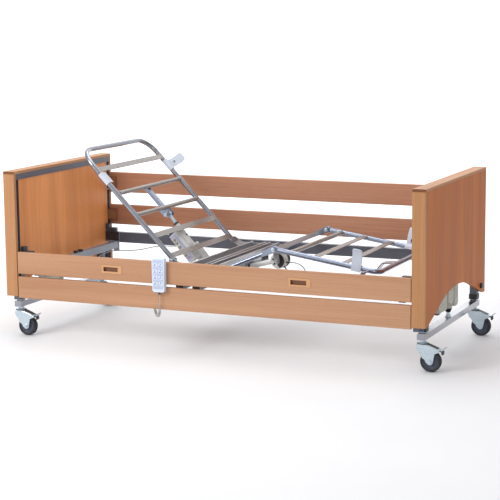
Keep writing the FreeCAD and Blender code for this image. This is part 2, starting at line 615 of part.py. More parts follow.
def backrest_frame():
    """U-shaped bent tube with its hinge pins."""
    z = BACK_HINGE.z
    y = SECTION_TUBE_Y
    path = [V(back_x(0), -y, z), V(back_x(BACK_LENGTH), -y, z),
            V(back_x(BACK_LENGTH), y, z), V(back_x(0), y, z)]
    tube = bent_tube(path, 98.0, SECTION_TUBE_R, SECTION_TUBE_WALL)
    pins = []
    for side in (-1, 1):
        eye = cylinder(V(back_x(0), side * y, z), Y_AXIS, 16, 12)
        pin = rod(V(back_x(0), side * (y + 4), z), V(back_x(0), side * (PLATE_Y + PLATE_THICK + 5), z),
                  HINGE_PIN_R)
        pins += [eye, pin]
    return back_local(fuse([tube] + pins))


def flat_slat(s, z):
    """Flat steel strip across the backrest, resting in the upper side of its tubes."""
    half = SLAT_WIDTH / 2
    return box(back_x(s) - half, back_x(s) + half, -SECTION_TUBE_Y, SECTION_TUBE_Y, z + 6, z + 10)


def backrest_slats(frame_flat):
    """Three flat strips and two round cross tubes, cut to meet the side tubes."""
    z = BACK_HINGE.z
    shapes = []
    for s in (24.0, 157.0, 603.0):
        shapes.append(flat_slat(s, z).cut(frame_flat))
    for s in (300.0, 446.0):
        bar = rod(V(back_x(s), -SECTION_TUBE_Y, z), V(back_x(s), SECTION_TUBE_Y, z), 11.0)
        core = rod(V(back_x(s), -SECTION_TUBE_Y - 1, z), V(back_x(s), SECTION_TUBE_Y + 1, z), 9.0)
        shapes.append(bar.cut(core).cut(frame_flat))
    return shapes


def solid_tubes():
    """The backrest's side tubes as solid bars, used to trim what meets them."""
    z = BACK_HINGE.z
    return fuse([rod(V(back_x(-40), side * SECTION_TUBE_Y, z), V(back_x(640), side * SECTION_TUBE_Y, z),
                     SECTION_TUBE_R) for side in (-1, 1)])


def backrest_spine():
    """Middle bar between the cross tubes, with the open fork that the actuator pushes on."""
    z = BACK_HINGE.z
    root = BACK_BRACKET_S + 34
    bar = box(back_x(452), back_x(root), -15, 15, z - 30, z - 12)
    yoke = box(back_x(root + 16), back_x(root), -31, 31, z - 30, z - 12)
    pivot = V(back_x(BACK_BRACKET_S), 0, z - BACK_BRACKET_DROP)
    cheek = link_plate([(back_x(root - 2), z - 24), (pivot.x, pivot.z)], 15, 27, 31)
    bolt = rod(pivot + Y_AXIS * 31, pivot + Y_AXIS * 36, 9)
    cross_gap = [cylinder(V(back_x(s), 0, z), Y_AXIS, 11.0, 80) for s in (300.0, 446.0)]
    spine = fuse([bar, yoke] + both_sides(cheek) + both_sides(bolt))
    return back_local(spine.cut(fuse(cross_gap)))


def strip(origin, along, out, normal, profile, half):
    """Bent strip: a profile of (outward, upward) points given a wall, half wide each way."""
    low = []
    for i, (u, n) in enumerate(profile):
        before, after = profile[max(i - 1, 0)], profile[min(i + 1, len(profile) - 1)]
        run = V(after[0] - before[0], after[1] - before[1], 0).normalize()
        low.append((u - run.y * STRIP_WALL, n + run.x * STRIP_WALL))
    outline = [origin + out * u + normal * n - along * half for u, n in profile + low[::-1]]
    return Part.Face(Part.makePolygon(outline + outline[:1])).extrude(along * (2 * half))


def retainer(s, side, upright):
    """Mattress retainer: clip on the side tube and a curved strip, raised or folded inwards."""
    z = BACK_HINGE.z
    y = side * SECTION_TUBE_Y
    clip = box(back_x(s + 36), back_x(s - 36), y - 17, y + 17, z - 6, z + 17)
    centre = V(back_x(s), y, z)
    if upright:
        plate = strip(centre, X_AXIS, Y_AXIS * side, Z_AXIS, RAISED_STRIP, STRIP_HALF)
    else:
        plate = strip(centre, X_AXIS, Y_AXIS * -side, Z_AXIS, FOLDED_STRIP, STRIP_HALF + 8)
    tube = rod(V(back_x(s + 60), y, z), V(back_x(s - 60), y, z), SECTION_TUBE_R)
    return back_local(fuse([clip, plate]).cut(tube))


def back_motor_dir():
    """Unit vector from the motor's hinge to the backrest fork, and their distance."""
    a = math.radians(BACK_RAISED)
    along, below = V(-math.cos(a), 0, math.sin(a)), V(-math.sin(a), 0, -math.cos(a))
    end = BACK_HINGE + along * BACK_BRACKET_S + below * BACK_BRACKET_DROP
    run = end - BACK_MOTOR_PIVOT
    length = run.Length
    return run.normalize(), length


def placed_on(shape, direction, pivot):
    """Shape modelled along +X from the origin, turned to lie along an actuator from its pivot."""
    angle = math.degrees(math.atan2(direction.z, direction.x))
    copy = shape.mirror(V(0, 0, 0), Z_AXIS)
    copy.rotate(V(0, 0, 0), Y_AXIS, -angle)
    copy.translate(pivot)
    return copy


def backrest_motor():
    """Actuator body: rear eye, gear neck, spindle tube and the motor can beside them."""
    direction, length = back_motor_dir()
    tube = rod(V(16, 0, 0), V(length - 62, 0, 0), BACK_TUBE_R)
    eye = cylinder(V(0, 0, 0), Y_AXIS, 15, 70)
    bore = cylinder(V(0, 0, 0), Y_AXIS, HINGE_PIN_R + RUNNING_GAP, 90)
    neck = box(8, 60, -20, 26, -22, 10)
    hollow = rod(V(24, 0, 0), V(length, 0, 0), BACK_ROD_R + 0.4)
    can = rounded(box(24, 150, 25, 79, -48, 4), 16, X_AXIS)
    body = fuse([tube, eye, neck, can]).cut(bore).cut(hollow)
    return placed_on(body, direction, BACK_MOTOR_PIVOT)


def control_box():
    """Box with the bed's electronics, carried beside the backrest actuator and partly over it."""
    direction = back_motor_dir()[0]
    case = rounded(box(66, 236, -96, -18.5, -35, 10), 6, X_AXIS)
    cover = box(140, 236, -60, -18, 9, 13)
    cap = box(234, 248, -90, -24, -29, 5)
    sockets = box(92, 214, -104, -92, -27, -5)
    return placed_on(fuse([case, cover, cap, sockets]), direction, BACK_MOTOR_PIVOT)


def backrest_rod():
    """Push rod with its eye, which stands free in the backrest's open fork."""
    direction, length = back_motor_dir()
    shaft = rod(V(78, 0, 0), V(length - 12, 0, 0), BACK_ROD_R)
    eye = cylinder(V(length, 0, 0), Y_AXIS, 13, 24)
    shape = fuse([shaft, eye]).cut(cylinder(V(length, 0, 0), Y_AXIS, 5, 30))
    return placed_on(shape, direction, BACK_MOTOR_PIVOT)


# ---------------------------------------------------------------- thigh and leg sections
def line_point(a, b, distance, offset=0.0):
    """Point at a distance from a towards b, moved up square to the line by an offset."""
    run = (b - a).normalize()
    return a + run * distance + V(-run.z, 0, run.x) * offset


def laid_box(a, b, s0, s1, y0, y1, n0, n1):
    """Box laid along the line from a to b: s along it, n square to it and upwards."""
    corners = [line_point(a, b, s, n) for s, n in ((s0, n0), (s1, n0), (s1, n1), (s0, n1))]
    return side_profile([(p.x, p.z) for p in corners], y0, y1)


def thigh_frame():
    """Two side tubes with hinge pins at the seat and fork knuckles at the knee."""
    pieces = []
    length = (KNEE - THIGH_HINGE).Length
    for side in (-1, 1):
        y = V(0, side * SECTION_TUBE_Y, 0)
        start, end = THIGH_HINGE, line_point(THIGH_HINGE, KNEE, length - 20)
        outer = rod(start + y, end + y, SECTION_TUBE_R)
        bore = rod(start + y, end + y, SECTION_TUBE_R - SECTION_TUBE_WALL)
        eye = cylinder(THIGH_HINGE + y, Y_AXIS, 15, 20)
        pin = rod(THIGH_HINGE + y + V(0, side * 6, 0),
                  THIGH_HINGE + V(0, side * (PLATE_Y + PLATE_THICK + 5), 0), HINGE_PIN_R)
        forks = []
        for inner, outer_y in ((-KNUCKLE_HALF, 4 - KNUCKLE_HALF), (KNUCKLE_HALF - 4, KNUCKLE_HALF)):
            y0, y1 = y.y + inner, y.y + outer_y
            gusset = side_profile([(p.x, p.z) for p in (
                line_point(THIGH_HINGE, KNEE, length - 75, -12), line_point(THIGH_HINGE, KNEE, length, -17),
                line_point(THIGH_HINGE, KNEE, length, 17), line_point(THIGH_HINGE, KNEE, length - 60, 12))],
                y0, y1)
            boss = cylinder(V(KNEE.x, (y0 + y1) / 2, KNEE.z), Y_AXIS, KNUCKLE_R, abs(y1 - y0))
            forks += [gusset, boss]
        bolt = cylinder(KNEE + y, Y_AXIS, KNEE_BOLT_R, 40)
        heads = [cylinder(KNEE + y + V(0, s * 16.5, 0), Y_AXIS, 9, 7) for s in (-1, 1)]
        pieces.append(fuse([outer.cut(bore), eye, pin, bolt] + forks + heads))
    return pieces


def thigh_channels():
    """Cross channels between the thigh tubes, and the actuator's lever plates under them."""
    shapes = []
    length = (KNEE - THIGH_HINGE).Length
    trim = fuse([rod(THIGH_HINGE + V(0, side * SECTION_TUBE_Y, 0), KNEE + V(0, side * SECTION_TUBE_Y, 0),
                     SECTION_TUBE_R) for side in (-1, 1)])
    fork_inside = SECTION_TUBE_Y - KNUCKLE_HALF
    for s0, s1, half in ((98, 150, SECTION_TUBE_Y), (length - 66, length - 26, fork_inside)):
        tray = laid_box(THIGH_HINGE, KNEE, s0, s1, -half, half, -11, 11)
        well = laid_box(THIGH_HINGE, KNEE, s0 + 2, s1 - 2, -half - 1, half + 1, -13, 9)
        shapes.append(tray.cut(well).cut(trim))
    top = line_point(THIGH_HINGE, KNEE, 124, 0)
    lever = link_plate([(top.x, top.z), (THIGH_MOTOR_PIVOT.x, THIGH_MOTOR_PIVOT.z)], 15, 43, 48)
    lever = lever.cut(laid_box(THIGH_HINGE, KNEE, 98, 150, -60, 60, 9, 40))
    pin = cylinder(THIGH_MOTOR_PIVOT + V(0, 42, 0), Y_AXIS, HINGE_PIN_R, 18)
    shapes[0] = fuse([shapes[0]] + both_sides(lever) + both_sides(pin))
    return shapes


def thigh_motor():
    """Actuator body carried by the thigh lever: round gear case and spindle tube."""
    run = THIGH_ROD_ANCHOR - THIGH_MOTOR_PIVOT
    case = cylinder(V(0, 0, 0), Y_AXIS, 41, 78)
    case = case.makeFillet(7, case.Edges)
    bore = cylinder(V(0, 0, 0), Y_AXIS, HINGE_PIN_R + RUNNING_GAP, 90)
    tube = rod(V(20, 0, 0), V(run.Length - 66, 0, 0), 13)
    hollow = cylinder(V(run.Length / 2 + 40, 0, 0), X_AXIS, 8.4, run.Length)
    shape = fuse([case, tube]).cut(hollow.cut(cylinder(V(0, 0, 0), Y_AXIS, 30, 78))).cut(bore)
    return placed_on(shape, run, THIGH_MOTOR_PIVOT)


def thigh_rod():
    """Push rod of the thigh actuator; its eye stands free between the frame's lugs."""
    run = THIGH_ROD_ANCHOR - THIGH_MOTOR_PIVOT
    shaft = rod(V(70, 0, 0), V(run.Length - 9, 0, 0), 8.0)
    eye = cylinder(V(run.Length, 0, 0), Y_AXIS, 11, 26)
    shape = fuse([shaft, eye]).cut(cylinder(V(run.Length, 0, 0), Y_AXIS, 5, 30))
    return placed_on(shape, run, THIGH_MOTOR_PIVOT)


def leg_frame():
    """U-shaped tube from both knees round the foot end, with lugs and end glides."""
    y = SECTION_TUBE_Y
    start = line_point(KNEE, LEG_END, 20)
    path = [V(start.x, -y, start.z), V(LEG_END.x, -y, LEG_END.z), V(LEG_END.x, y, LEG_END.z),
            V(start.x, y, start.z)]
    pieces = [bent_tube(path, 45.0, SECTION_TUBE_R, SECTION_TUBE_WALL)]
    for side in (-1, 1):
        lug = cylinder(KNEE + V(0, side * y, 0), Y_AXIS, KNUCKLE_R - 1, 15)
        web = laid_box(KNEE, LEG_END, 0, 60, side * y - 7.5, side * y + 7.5, -12, 12)
        inside = rod(V(start.x, side * y, start.z), line_point(KNEE, LEG_END, 90) + V(0, side * y, 0),
                     SECTION_TUBE_R - SECTION_TUBE_WALL)
        axle = rod(V(LEG_END.x - 45, side * (y + 6), GLIDE_Z), V(LEG_END.x - 45, side * 455, GLIDE_Z), 5)
        glide = rod(V(LEG_END.x - 45, side * 428, GLIDE_Z), V(LEG_END.x - 45, side * 452, GLIDE_Z),
                    GLIDE_R)
        pieces += [lug, web.cut(inside), axle, glide]
    frame = fuse(pieces)
    for side in (-1, 1):
        frame = frame.cut(cylinder(KNEE + V(0, side * y, 0), Y_AXIS, KNEE_BOLT_R + RUNNING_GAP, 60))
    return frame


def leg_slats():
    """Round cross tube behind the knee and two flat strips."""
    trim = fuse([rod(KNEE + V(0, side * SECTION_TUBE_Y, 0), LEG_END + V(0, side * SECTION_TUBE_Y, 0),
                     SECTION_TUBE_R) for side in (-1, 1)])
    centre = line_point(KNEE, LEG_END, 84)
    ends = [V(centre.x, side * SECTION_TUBE_Y, centre.z) for side in (-1, 1)]
    bar = rod(ends[0], ends[1], 11.0).cut(rod(ends[0], ends[1], 9.0))
    shapes = [bar.cut(trim)]
    for s in (214.0, 359.0):
        half = SLAT_WIDTH / 2
        strip = laid_box(KNEE, LEG_END, s - half, s + half, -SECTION_TUBE_Y, SECTION_TUBE_Y, 6, 10)
        shapes.append(strip.cut(trim))
    return shapes


def leg_retainer(side):
    """Foot-end mattress retainer: a curved strip that stands up outside the leg tube."""
    y = side * SECTION_TUBE_Y
    middle = LEG_STRIP_S + (FAR_STRIP_SHIFT if side > 0 else 0)
    centre = line_point(KNEE, LEG_END, middle) + V(0, y, 0)
    along = (LEG_END - KNEE).normalize()
    normal = V(-along.z, 0, along.x)
    plate = strip(centre, along, Y_AXIS * side, normal, LEG_STRIP, STRIP_HALF)
    y0, y1 = y - side * 3, y + side * 16
    clip = laid_box(KNEE, LEG_END, middle - 20, middle + 20, y0, y1, -15, 15)
    tube = rod(line_point(KNEE, LEG_END, middle - 60) + V(0, y, 0),
               line_point(KNEE, LEG_END, middle + 60) + V(0, y, 0), SECTION_TUBE_R)
    slot = laid_box(KNEE, LEG_END, middle - 4, middle + 4, y + side * 10, y + side * 40, 24, 40)
    return fuse([clip.cut(tube), plate]).cut(slot)


def leg_prop():
    """Folded support stay under the end of the leg section."""
    points = [(826, 427), (748, 421), (704, 368)]
    return link_plate(points, 3, -32, 32).cut(
        rod(V(LEG_END.x, -60, LEG_END.z), V(LEG_END.x, 60, LEG_END.z), SECTION_TUBE_R))


# ---------------------------------------------------------------- handset and leads
def handset():
    """Slim hand control that hangs outside the upper near rail on a hook."""
    half = HANDSET_WIDTH / 2
    case = box(HANDSET_X - half, HANDSET_X + half, HANDSET_FRONT_Y, HANDSET_BACK_Y,
               HANDSET_BOTTOM, HANDSET_TOP)
    case = rounded(rounded(case, 8, Y_AXIS), 3, Z_AXIS)
    for row in range(KEY_ROWS):
        z = key_z(row)
        case = case.cut(box(HANDSET_X - 29, HANDSET_X + 29, HANDSET_FRONT_Y - 1, HANDSET_FRONT_Y + 7,
                            z - 12, z + 12))
    top = TOP_RAIL_BOTTOM + RAIL_HEIGHT
    hook = [box(HANDSET_X - 14, HANDSET_X + 14, HANDSET_BACK_Y, -RAIL_IN + 5, top + 0.5, top + 4),
            box(HANDSET_X - 14, HANDSET_X + 14, -RAIL_IN + 1.5, -RAIL_IN + 5, top - 26, top + 4)]
    gland = rod(V(HANDSET_X, CORD_Y, HANDSET_BOTTOM + 1),
                V(HANDSET_X, CORD_Y, HANDSET_BOTTOM - GLAND_LENGTH), 6)
    return fuse([case] + hook + [gland])


def key_z(row):
    """Height of a row of keys."""
    return HANDSET_TOP - 34 - row * KEY_PITCH


def handset_key(row):
    """Rocker key for one function, with an up pad and a down pad on a thin bridge."""
    z = key_z(row)
    y = HANDSET_FRONT_Y
    pads = [box(HANDSET_X + side * 3, HANDSET_X + side * 27, y - 2, y + 3, z - 10, z + 10)
            for side in (-1, 1)]
    bridge = box(HANDSET_X - 24, HANDSET_X + 24, y + 1, y + 3.4, z - 9, z + 9)
    pivot = cylinder(V(HANDSET_X, y + 4.2, z), Z_AXIS, 2, 18)
    return fuse([rounded(p, 3, Y_AXIS) for p in pads] + [bridge, pivot])


def cord_routes():
    """Route of the handset's lead: thin, then curled, then thin again up to the side tube."""
    x, y = HANDSET_X, CORD_Y
    start = HANDSET_BOTTOM - GLAND_LENGTH - 0.3
    thin_down = [V(x, y, start), V(x, y, start - 12), V(x + 1.5, y - 1, start - 26),
                 V(x, y, start - 40), V(x, y, 232)]
    curl = [V(x, y, 232), V(x, y, 197), V(x - 18, y + 19, 171), V(x - 44, y + 47, 171),
            V(x - 62, y + 66, 197), V(x - 62, y + 66, 236)]
    thin_up = [V(x - 62, y + 66, 236), V(x - 62, y + 66, 264), V(x - 66, y + 69, 292),
               V(x - 67, y + 72, 320), V(x - 62, -SIDE_TUBE_Y, 342), V(x - 62, -SIDE_TUBE_Y, SIDE_TUBE_BOTTOM)]
    return thin_down, curl, thin_up


def head_lead_route():
    """Lead of the head lifting motor, hung under the platform to a clip on the far side tube."""
    return [V(-1044, 0, 296), V(-1008, 4, 292), V(-962, 30, 300), V(-936, 86, 318), V(-930, 150, 336),
            V(-926, 214, 344), V(-920, 276, 342), V(-902, 334, 336), V(-866, 380, 330),
            V(-812, 402, 336), V(-752, 408, 352), V(-696, 412, 362), V(-640, 420, 361),
            V(-590, 431, SIDE_TUBE_BOTTOM - 3.2)]


def side_clip():
    """Clip under the far side tube that ends the head lead's free run."""
    return box(-600, -570, 424, 442, SIDE_TUBE_BOTTOM - 9, SIDE_TUBE_BOTTOM)


def thigh_lead_route():
    """Lead loop of the thigh actuator, from its gear case round to its underside."""
    return [V(235.4, -20, 394), V(266, -20, 396), V(302, -21, 392), V(332, -22, 374), V(344, -24, 346),
            V(330, -26, 322), V(298, -27, 316), V(266, -26, 330), V(243, -25, 352), V(226.5, -25, 374)]


def main():
    """Build every node and write its file."""
    os.makedirs("parts", exist_ok=True)
    nodes = {}
    for end, word in ((-1, "head"), (1, "foot")):
        nodes[word + "_base_frame"] = [at_end(s, end) for s in base_frame()]
        nodes[word + "_lift_spindle"] = [at_end(lift_spindle(), end)]
        nodes[word + "_board_panels"] = [at_end(s, end) for s in (outer_panel(), inner_panel())]
        nodes[word + "_board_edges"] = [at_end(s, end) for s in board_edges()]
        nodes[word + "_end_frame"] = [at_end(end_frame(), end)]
        nodes[word + "_lift_motor"] = [at_end(s, end) for s in (lift_motor(), lift_control_box())]
    nodes["rail_guides"] = [at_end(s, end) for end in (-1, 1) for s in both_sides(rail_guide())]
    collars = [at_end(s, end) for end in (-1, 1) for s in both_sides(column_collar())]
    bumpers = [bumper(), at_end(mirrored(bumper()), -1)]
    corners = [s for end in (-1, 1) for s in both_sides(corner_bracket(end))]
    nodes["column_collars_and_buffers"] = collars + bumpers

    for x_side, x_word in ((-1, "head"), (1, "foot")):
        for y_side, y_word in ((-1, "near"), (1, "far")):
            x, y = x_side * BASE_X, y_side * COLUMN_Y
            tag = "%s_%s" % (x_word, y_word)
            nodes["castor_fork_" + tag] = [fuse([castor_fork(x, y), pedal_pin(x, y)])]
            nodes["castor_wheel_" + tag] = [castor_wheel(x, y)]
            nodes["castor_pedal_" + tag] = [castor_pedal(x, y)]

    pockets = {side: fuse([grip_pocket(side, x) for x in (-GRIP_X, GRIP_X)]) for side in (-1, 1)}
    near_top = rail_beam(-1, TOP_RAIL_BOTTOM)
    far_top = rail_beam(1, TOP_RAIL_BOTTOM + TOP_RAIL_TRAVEL)
    nodes["near_top_rail"] = [near_top[0].cut(pockets[-1])] + near_top[1:]
    nodes["far_top_rail"] = [far_top[0].cut(pockets[1])] + far_top[1:]
    nodes["near_low_rail"] = rail_beam(-1, LOW_RAIL_BOTTOM)
    nodes["far_low_rail"] = rail_beam(1, LOW_RAIL_BOTTOM + LOW_RAIL_TRAVEL)
    nodes["near_rail_grips"] = [rail_grip(-1, x) for x in (-GRIP_X, GRIP_X)]
    nodes["far_rail_grips"] = [rail_grip(1, x) for x in (-GRIP_X, GRIP_X)]

    nodes["platform_head_frame"] = [head_frame()]
    nodes["platform_foot_frame"] = [foot_frame()]
    nodes["frame_couplings"] = both_sides(frame_coupling())
    nodes["side_tube_fittings"] = corners + [fuse(slide_strip(side)) for side in (-1, 1)]
    nodes["seat_frame"] = seat_frame()

    nodes["backrest_frame"] = [backrest_frame()]
    nodes["backrest_slats"] = [back_local(s) for s in backrest_slats(solid_tubes())]
    nodes["backrest_spine"] = [backrest_spine()]
    nodes["backrest_retainers"] = [retainer(545.0, -1, False), retainer(545.0, 1, True)]
    nodes["backrest_motor"] = [backrest_motor()]
    nodes["control_box"] = [control_box()]
    nodes["backrest_push_rod"] = [backrest_rod()]

    nodes["thigh_tubes"] = thigh_frame()
    nodes["thigh_channels"] = thigh_channels()
    nodes["thigh_motor"] = [thigh_motor()]
    nodes["thigh_push_rod"] = [thigh_rod()]
    nodes["leg_frame"] = [leg_frame()]
    nodes["leg_slats"] = leg_slats()
    nodes["leg_retainers"] = [leg_retainer(side) for side in (-1, 1)]
    nodes["leg_prop"] = [leg_prop()]

    nodes["handset_case"] = [handset()]
    for row in range(KEY_ROWS):
        nodes["handset_key_%d" % (row + 1)] = [handset_key(row)]

    thin_down, curl, thin_up = cord_routes()
    nodes["handset_cord"] = [cord("handset lead, upper", thin_down, LEAD_R),
                             cord("handset lead, curled", curl, CURL_R),
                             cord("handset lead, inner", thin_up, LEAD_R)]

    head_lead = cord("head lift lead", head_lead_route(), MOTOR_LEAD_R)
    nodes["head_lift_lead"] = [head_lead, side_clip().cut(head_lead)]
    thigh_lead = cord("thigh motor lead", thigh_lead_route(), MOTOR_LEAD_R)
    nodes["thigh_motor_lead"] = [thigh_lead.cut(fuse(nodes["thigh_motor"]))]

    for name, shapes in nodes.items():
        bad = [s for s in shapes if not s.isValid()]
        solids = sum(len(s.Solids) for s in shapes)
        print("%-26s solids %d%s" % (name, solids, "  INVALID" if bad else ""))
        export(name, shapes)
    print("nodes", len(nodes))


main()
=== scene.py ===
"""Looks of the electrically adjustable care bed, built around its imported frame.

bed(x, y, z) gives row-frame metres from millimetres counted from the middle of the bed on the floor,
with the foot end at +x, the raised side rail at +y and z up.
"""

import json
import math

import bmesh
import bpy
from mathutils import Matrix, Vector


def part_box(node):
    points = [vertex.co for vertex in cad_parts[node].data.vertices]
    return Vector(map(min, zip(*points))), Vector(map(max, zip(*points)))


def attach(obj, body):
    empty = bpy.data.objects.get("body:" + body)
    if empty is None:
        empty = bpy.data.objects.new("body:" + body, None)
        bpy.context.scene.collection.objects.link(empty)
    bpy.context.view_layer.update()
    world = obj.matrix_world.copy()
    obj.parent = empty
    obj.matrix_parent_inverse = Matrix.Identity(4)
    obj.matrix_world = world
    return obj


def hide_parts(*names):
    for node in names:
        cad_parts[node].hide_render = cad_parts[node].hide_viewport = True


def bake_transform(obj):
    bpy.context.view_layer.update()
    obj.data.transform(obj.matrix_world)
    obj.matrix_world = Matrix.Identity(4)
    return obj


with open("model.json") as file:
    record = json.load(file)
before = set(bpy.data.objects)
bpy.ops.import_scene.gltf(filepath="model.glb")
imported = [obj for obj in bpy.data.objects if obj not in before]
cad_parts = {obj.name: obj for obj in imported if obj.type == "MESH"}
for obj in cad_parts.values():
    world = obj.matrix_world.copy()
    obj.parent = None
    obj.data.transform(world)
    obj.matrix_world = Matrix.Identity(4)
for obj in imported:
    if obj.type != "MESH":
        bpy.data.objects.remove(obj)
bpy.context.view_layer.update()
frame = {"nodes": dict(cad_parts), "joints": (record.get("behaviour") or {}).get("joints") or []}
nodes = frame["nodes"]

MM = 0.001
ORIGIN, ALONG, ACROSS, UP = (0, 0, 0), (1, 0, 0), (0, 1, 0), (0, 0, 1)
head_edge, foot_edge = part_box("head_board_edges"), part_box("foot_board_edges")
MIDDLE = (head_edge[0] + foot_edge[1]) / 2
BOARD_X = 1086.0
KNEE, LEG_END = Vector((313, 0, 515)), Vector((844, 0, 434))
MOTOR_PIVOT, MOTOR_RUN, MOTOR_LENGTH = Vector((-205, 0, 345)), Vector((-0.6614, 0, 0.75)), 348.1
THIGH_PIVOT, THIGH_RUN = Vector((195, 0, 402)), Vector((-235, 0, -62))
STRIP_WALL = 4.0
RAISED_STRIP = [(8, 12), (30, 18), (52, 30), (70, 47), (82, 68)]
FOLDED_STRIP = [(6, 13), (24, 12), (38, 9), (43, 1)]
LEG_STRIP = [(17, -14), (17.5, 30), (20, 58), (27, 80), (38, 98)]


def bed(x, y, z):
    """Row-frame point in metres from bed millimetres."""
    return Vector((MIDDLE.x + x * MM, MIDDLE.y + y * MM, z * MM))


# ---------------------------------------------------------------- camera
def make_camera():
    """Long lens from the foot end's near side, a little above the bed."""
    data = bpy.data.cameras.new("camera")
    data.lens, data.sensor_width = 112.02, 36.0
    data.clip_start, data.clip_end = 0.1, 100.0
    camera = linked("camera", data)
    yaw, pitch, roll = (math.radians(a) for a in (24.18, 9.22, -0.56))
    ahead = Vector((-math.sin(yaw) * math.cos(pitch), math.cos(yaw) * math.cos(pitch), -math.sin(pitch)))
    level = Vector((math.cos(yaw), math.sin(yaw), 0))
    upright = level.cross(ahead)
    right = level * math.cos(roll) + upright * math.sin(roll)
    up = upright * math.cos(roll) - level * math.sin(roll)
    turn = Matrix((right, up, -ahead)).transposed().to_4x4()
    camera.matrix_world = Matrix.Translation(bed(3237.45, -7151.87, 1714.57)) @ turn
    bpy.context.scene.camera = camera


# ---------------------------------------------------------------- material helpers
class Graph:
    """Short hand for a material's node tree, with its Principled shader at hand."""

    def __init__(self, name, **values):
        self.material = bpy.data.materials.new(name)
        self.material.use_nodes = True
        self.tree = self.material.node_tree
        self.shader = next(n for n in self.tree.nodes if n.type == "BSDF_PRINCIPLED")
        for key, value in values.items():
            self.shader.inputs[key.replace("_", " ")].default_value = value
        self.place = None

    @classmethod
    def again(cls, material):
        """Opens a finished material for more work."""
        graph = cls.__new__(cls)
        graph.material, graph.tree, graph.place = material, material.node_tree, None
        graph.shader = next(n for n in graph.tree.nodes if n.type == "BSDF_PRINCIPLED")
        return graph

    def node(self, kind, settings=None, **inputs):
        """New node; settings are its properties, and inputs are values or sockets."""
        new = self.tree.nodes.new(kind)
        for key, value in (settings or {}).items():
            setattr(new, key, value)
        for key, value in inputs.items():
            self.feed(new.inputs[key.replace("_", " ")], value)
        return new

    def feed(self, socket, value):
        """Link a socket or set a plain value."""
        if isinstance(value, bpy.types.NodeSocket):
            self.tree.links.new(value, socket)
        else:
            socket.default_value = value

    def position(self, scale=(1, 1, 1), shift=(0, 0, 0)):
        """Object position, stretched by a scale for each axis."""
        if self.place is None:
            self.place = self.node("ShaderNodeTexCoord").outputs["Object"]
        mapping = self.node("ShaderNodeMapping", Vector=self.place, Scale=scale, Location=shift)
        return mapping.outputs[0]

    def noise(self, scale=(1, 1, 1), size=1.0, detail=3.0, roughness=0.5, distortion=0.0, shift=(0, 0, 0)):
        """Noise value with its own stretch."""
        return self.node("ShaderNodeTexNoise", Vector=self.position(scale, shift), Scale=size, Detail=detail,
                         Roughness=roughness, Distortion=distortion).outputs["Fac"]

    def math(self, operation, a, b=0.0, c=0.0):
        """Maths node on sockets or numbers."""
        new = self.node("ShaderNodeMath", {"operation": operation})
        for socket, value in zip(new.inputs, (a, b, c)):
            self.feed(socket, value)
        return new.outputs[0]

    def ramp(self, value, *stops):
        """Colour ramp from (position, colour) stops."""
        new = self.node("ShaderNodeValToRGB", Fac=value)
        elements = new.color_ramp.elements
        while len(elements) < len(stops):
            elements.new(0.5)
        for element, (position, colour) in zip(elements, stops):
            element.position = position
            element.color = (*colour, 1)
        return new.outputs["Color"]

    def mix(self, factor, a, b):
        """Mix two colours."""
        new = self.node("ShaderNodeMix", {"data_type": "RGBA"})
        for socket, value in ((new.inputs[0], factor), (new.inputs[6], a), (new.inputs[7], b)):
            if isinstance(value, tuple):
                value = (*value, 1)
            self.feed(socket, value)
        return new.outputs[2]

    def range(self, value, from_low, from_high, to_low, to_high):
        """Map a value from one range to another, clamped."""
        new = self.node("ShaderNodeMapRange", Value=value)
        for key, number in zip(("From Min", "From Max", "To Min", "To Max"),
                               (from_low, from_high, to_low, to_high)):
            new.inputs[key].default_value = number
        return new.outputs[0]

    def axis(self, name):
        """One coordinate of the object position, in metres."""
        split = self.node("ShaderNodeSeparateXYZ", Vector=self.position())
        return split.outputs[name]

    def above(self, name, limit):
        """1 where a coordinate is above a limit, else 0."""
        return self.math("GREATER_THAN", self.axis(name), limit)

    def below(self, name, limit):
        """1 where a coordinate is below a limit, else 0."""
        return self.math("LESS_THAN", self.axis(name), limit)

    def beyond(self, name, limit):
        """1 where a coordinate's size, counted from the bed's middle, is above a limit."""
        middle = {"X": MIDDLE.x, "Y": MIDDLE.y, "Z": 0.0}[name]
        offset = self.math("ABSOLUTE", self.math("SUBTRACT", self.axis(name), middle))
        return self.math("GREATER_THAN", offset, limit)

    def bump(self, height, strength, distance=0.001):
        """Fine relief."""
        new = self.node("ShaderNodeBump", Height=height, Strength=strength, Distance=distance)
        self.feed(self.shader.inputs["Normal"], new.outputs[0])

    def out(self, **inputs):
        """Feed shader inputs and return the material."""
        for key, value in inputs.items():
            self.feed(self.shader.inputs[key.replace("_", " ")], value)
        return self.material


def accent(g, mask, colour, roughness=0.4, metallic=0.0):
    """Gives part of a finish another colour and gloss, where the mask is 1."""
    shader = g.shader.inputs
    for key, value in (("Roughness", roughness), ("Metallic", metallic)):
        links = shader[key].links
        now = links[0].from_socket if links else shader[key].default_value
        kept = g.math("MULTIPLY", now, g.math("SUBTRACT", 1.0, mask))
        g.feed(shader[key], g.math("MULTIPLY_ADD", mask, value, kept))
    g.feed(shader["Base Color"], g.mix(mask, shader["Base Color"].links[0].from_socket, colour))
    return g


def scaled(colour, factor):
    """Lighter or darker colour."""
    return tuple(min(1, c * factor) for c in colour)


def linear(r, g, b):
    """Scene-linear colour from 0-255 display values."""
    return tuple((v / 255 / 12.92) if v <= 10 else ((v / 255 + 0.055) / 1.055) ** 2.4 for v in (r, g, b))


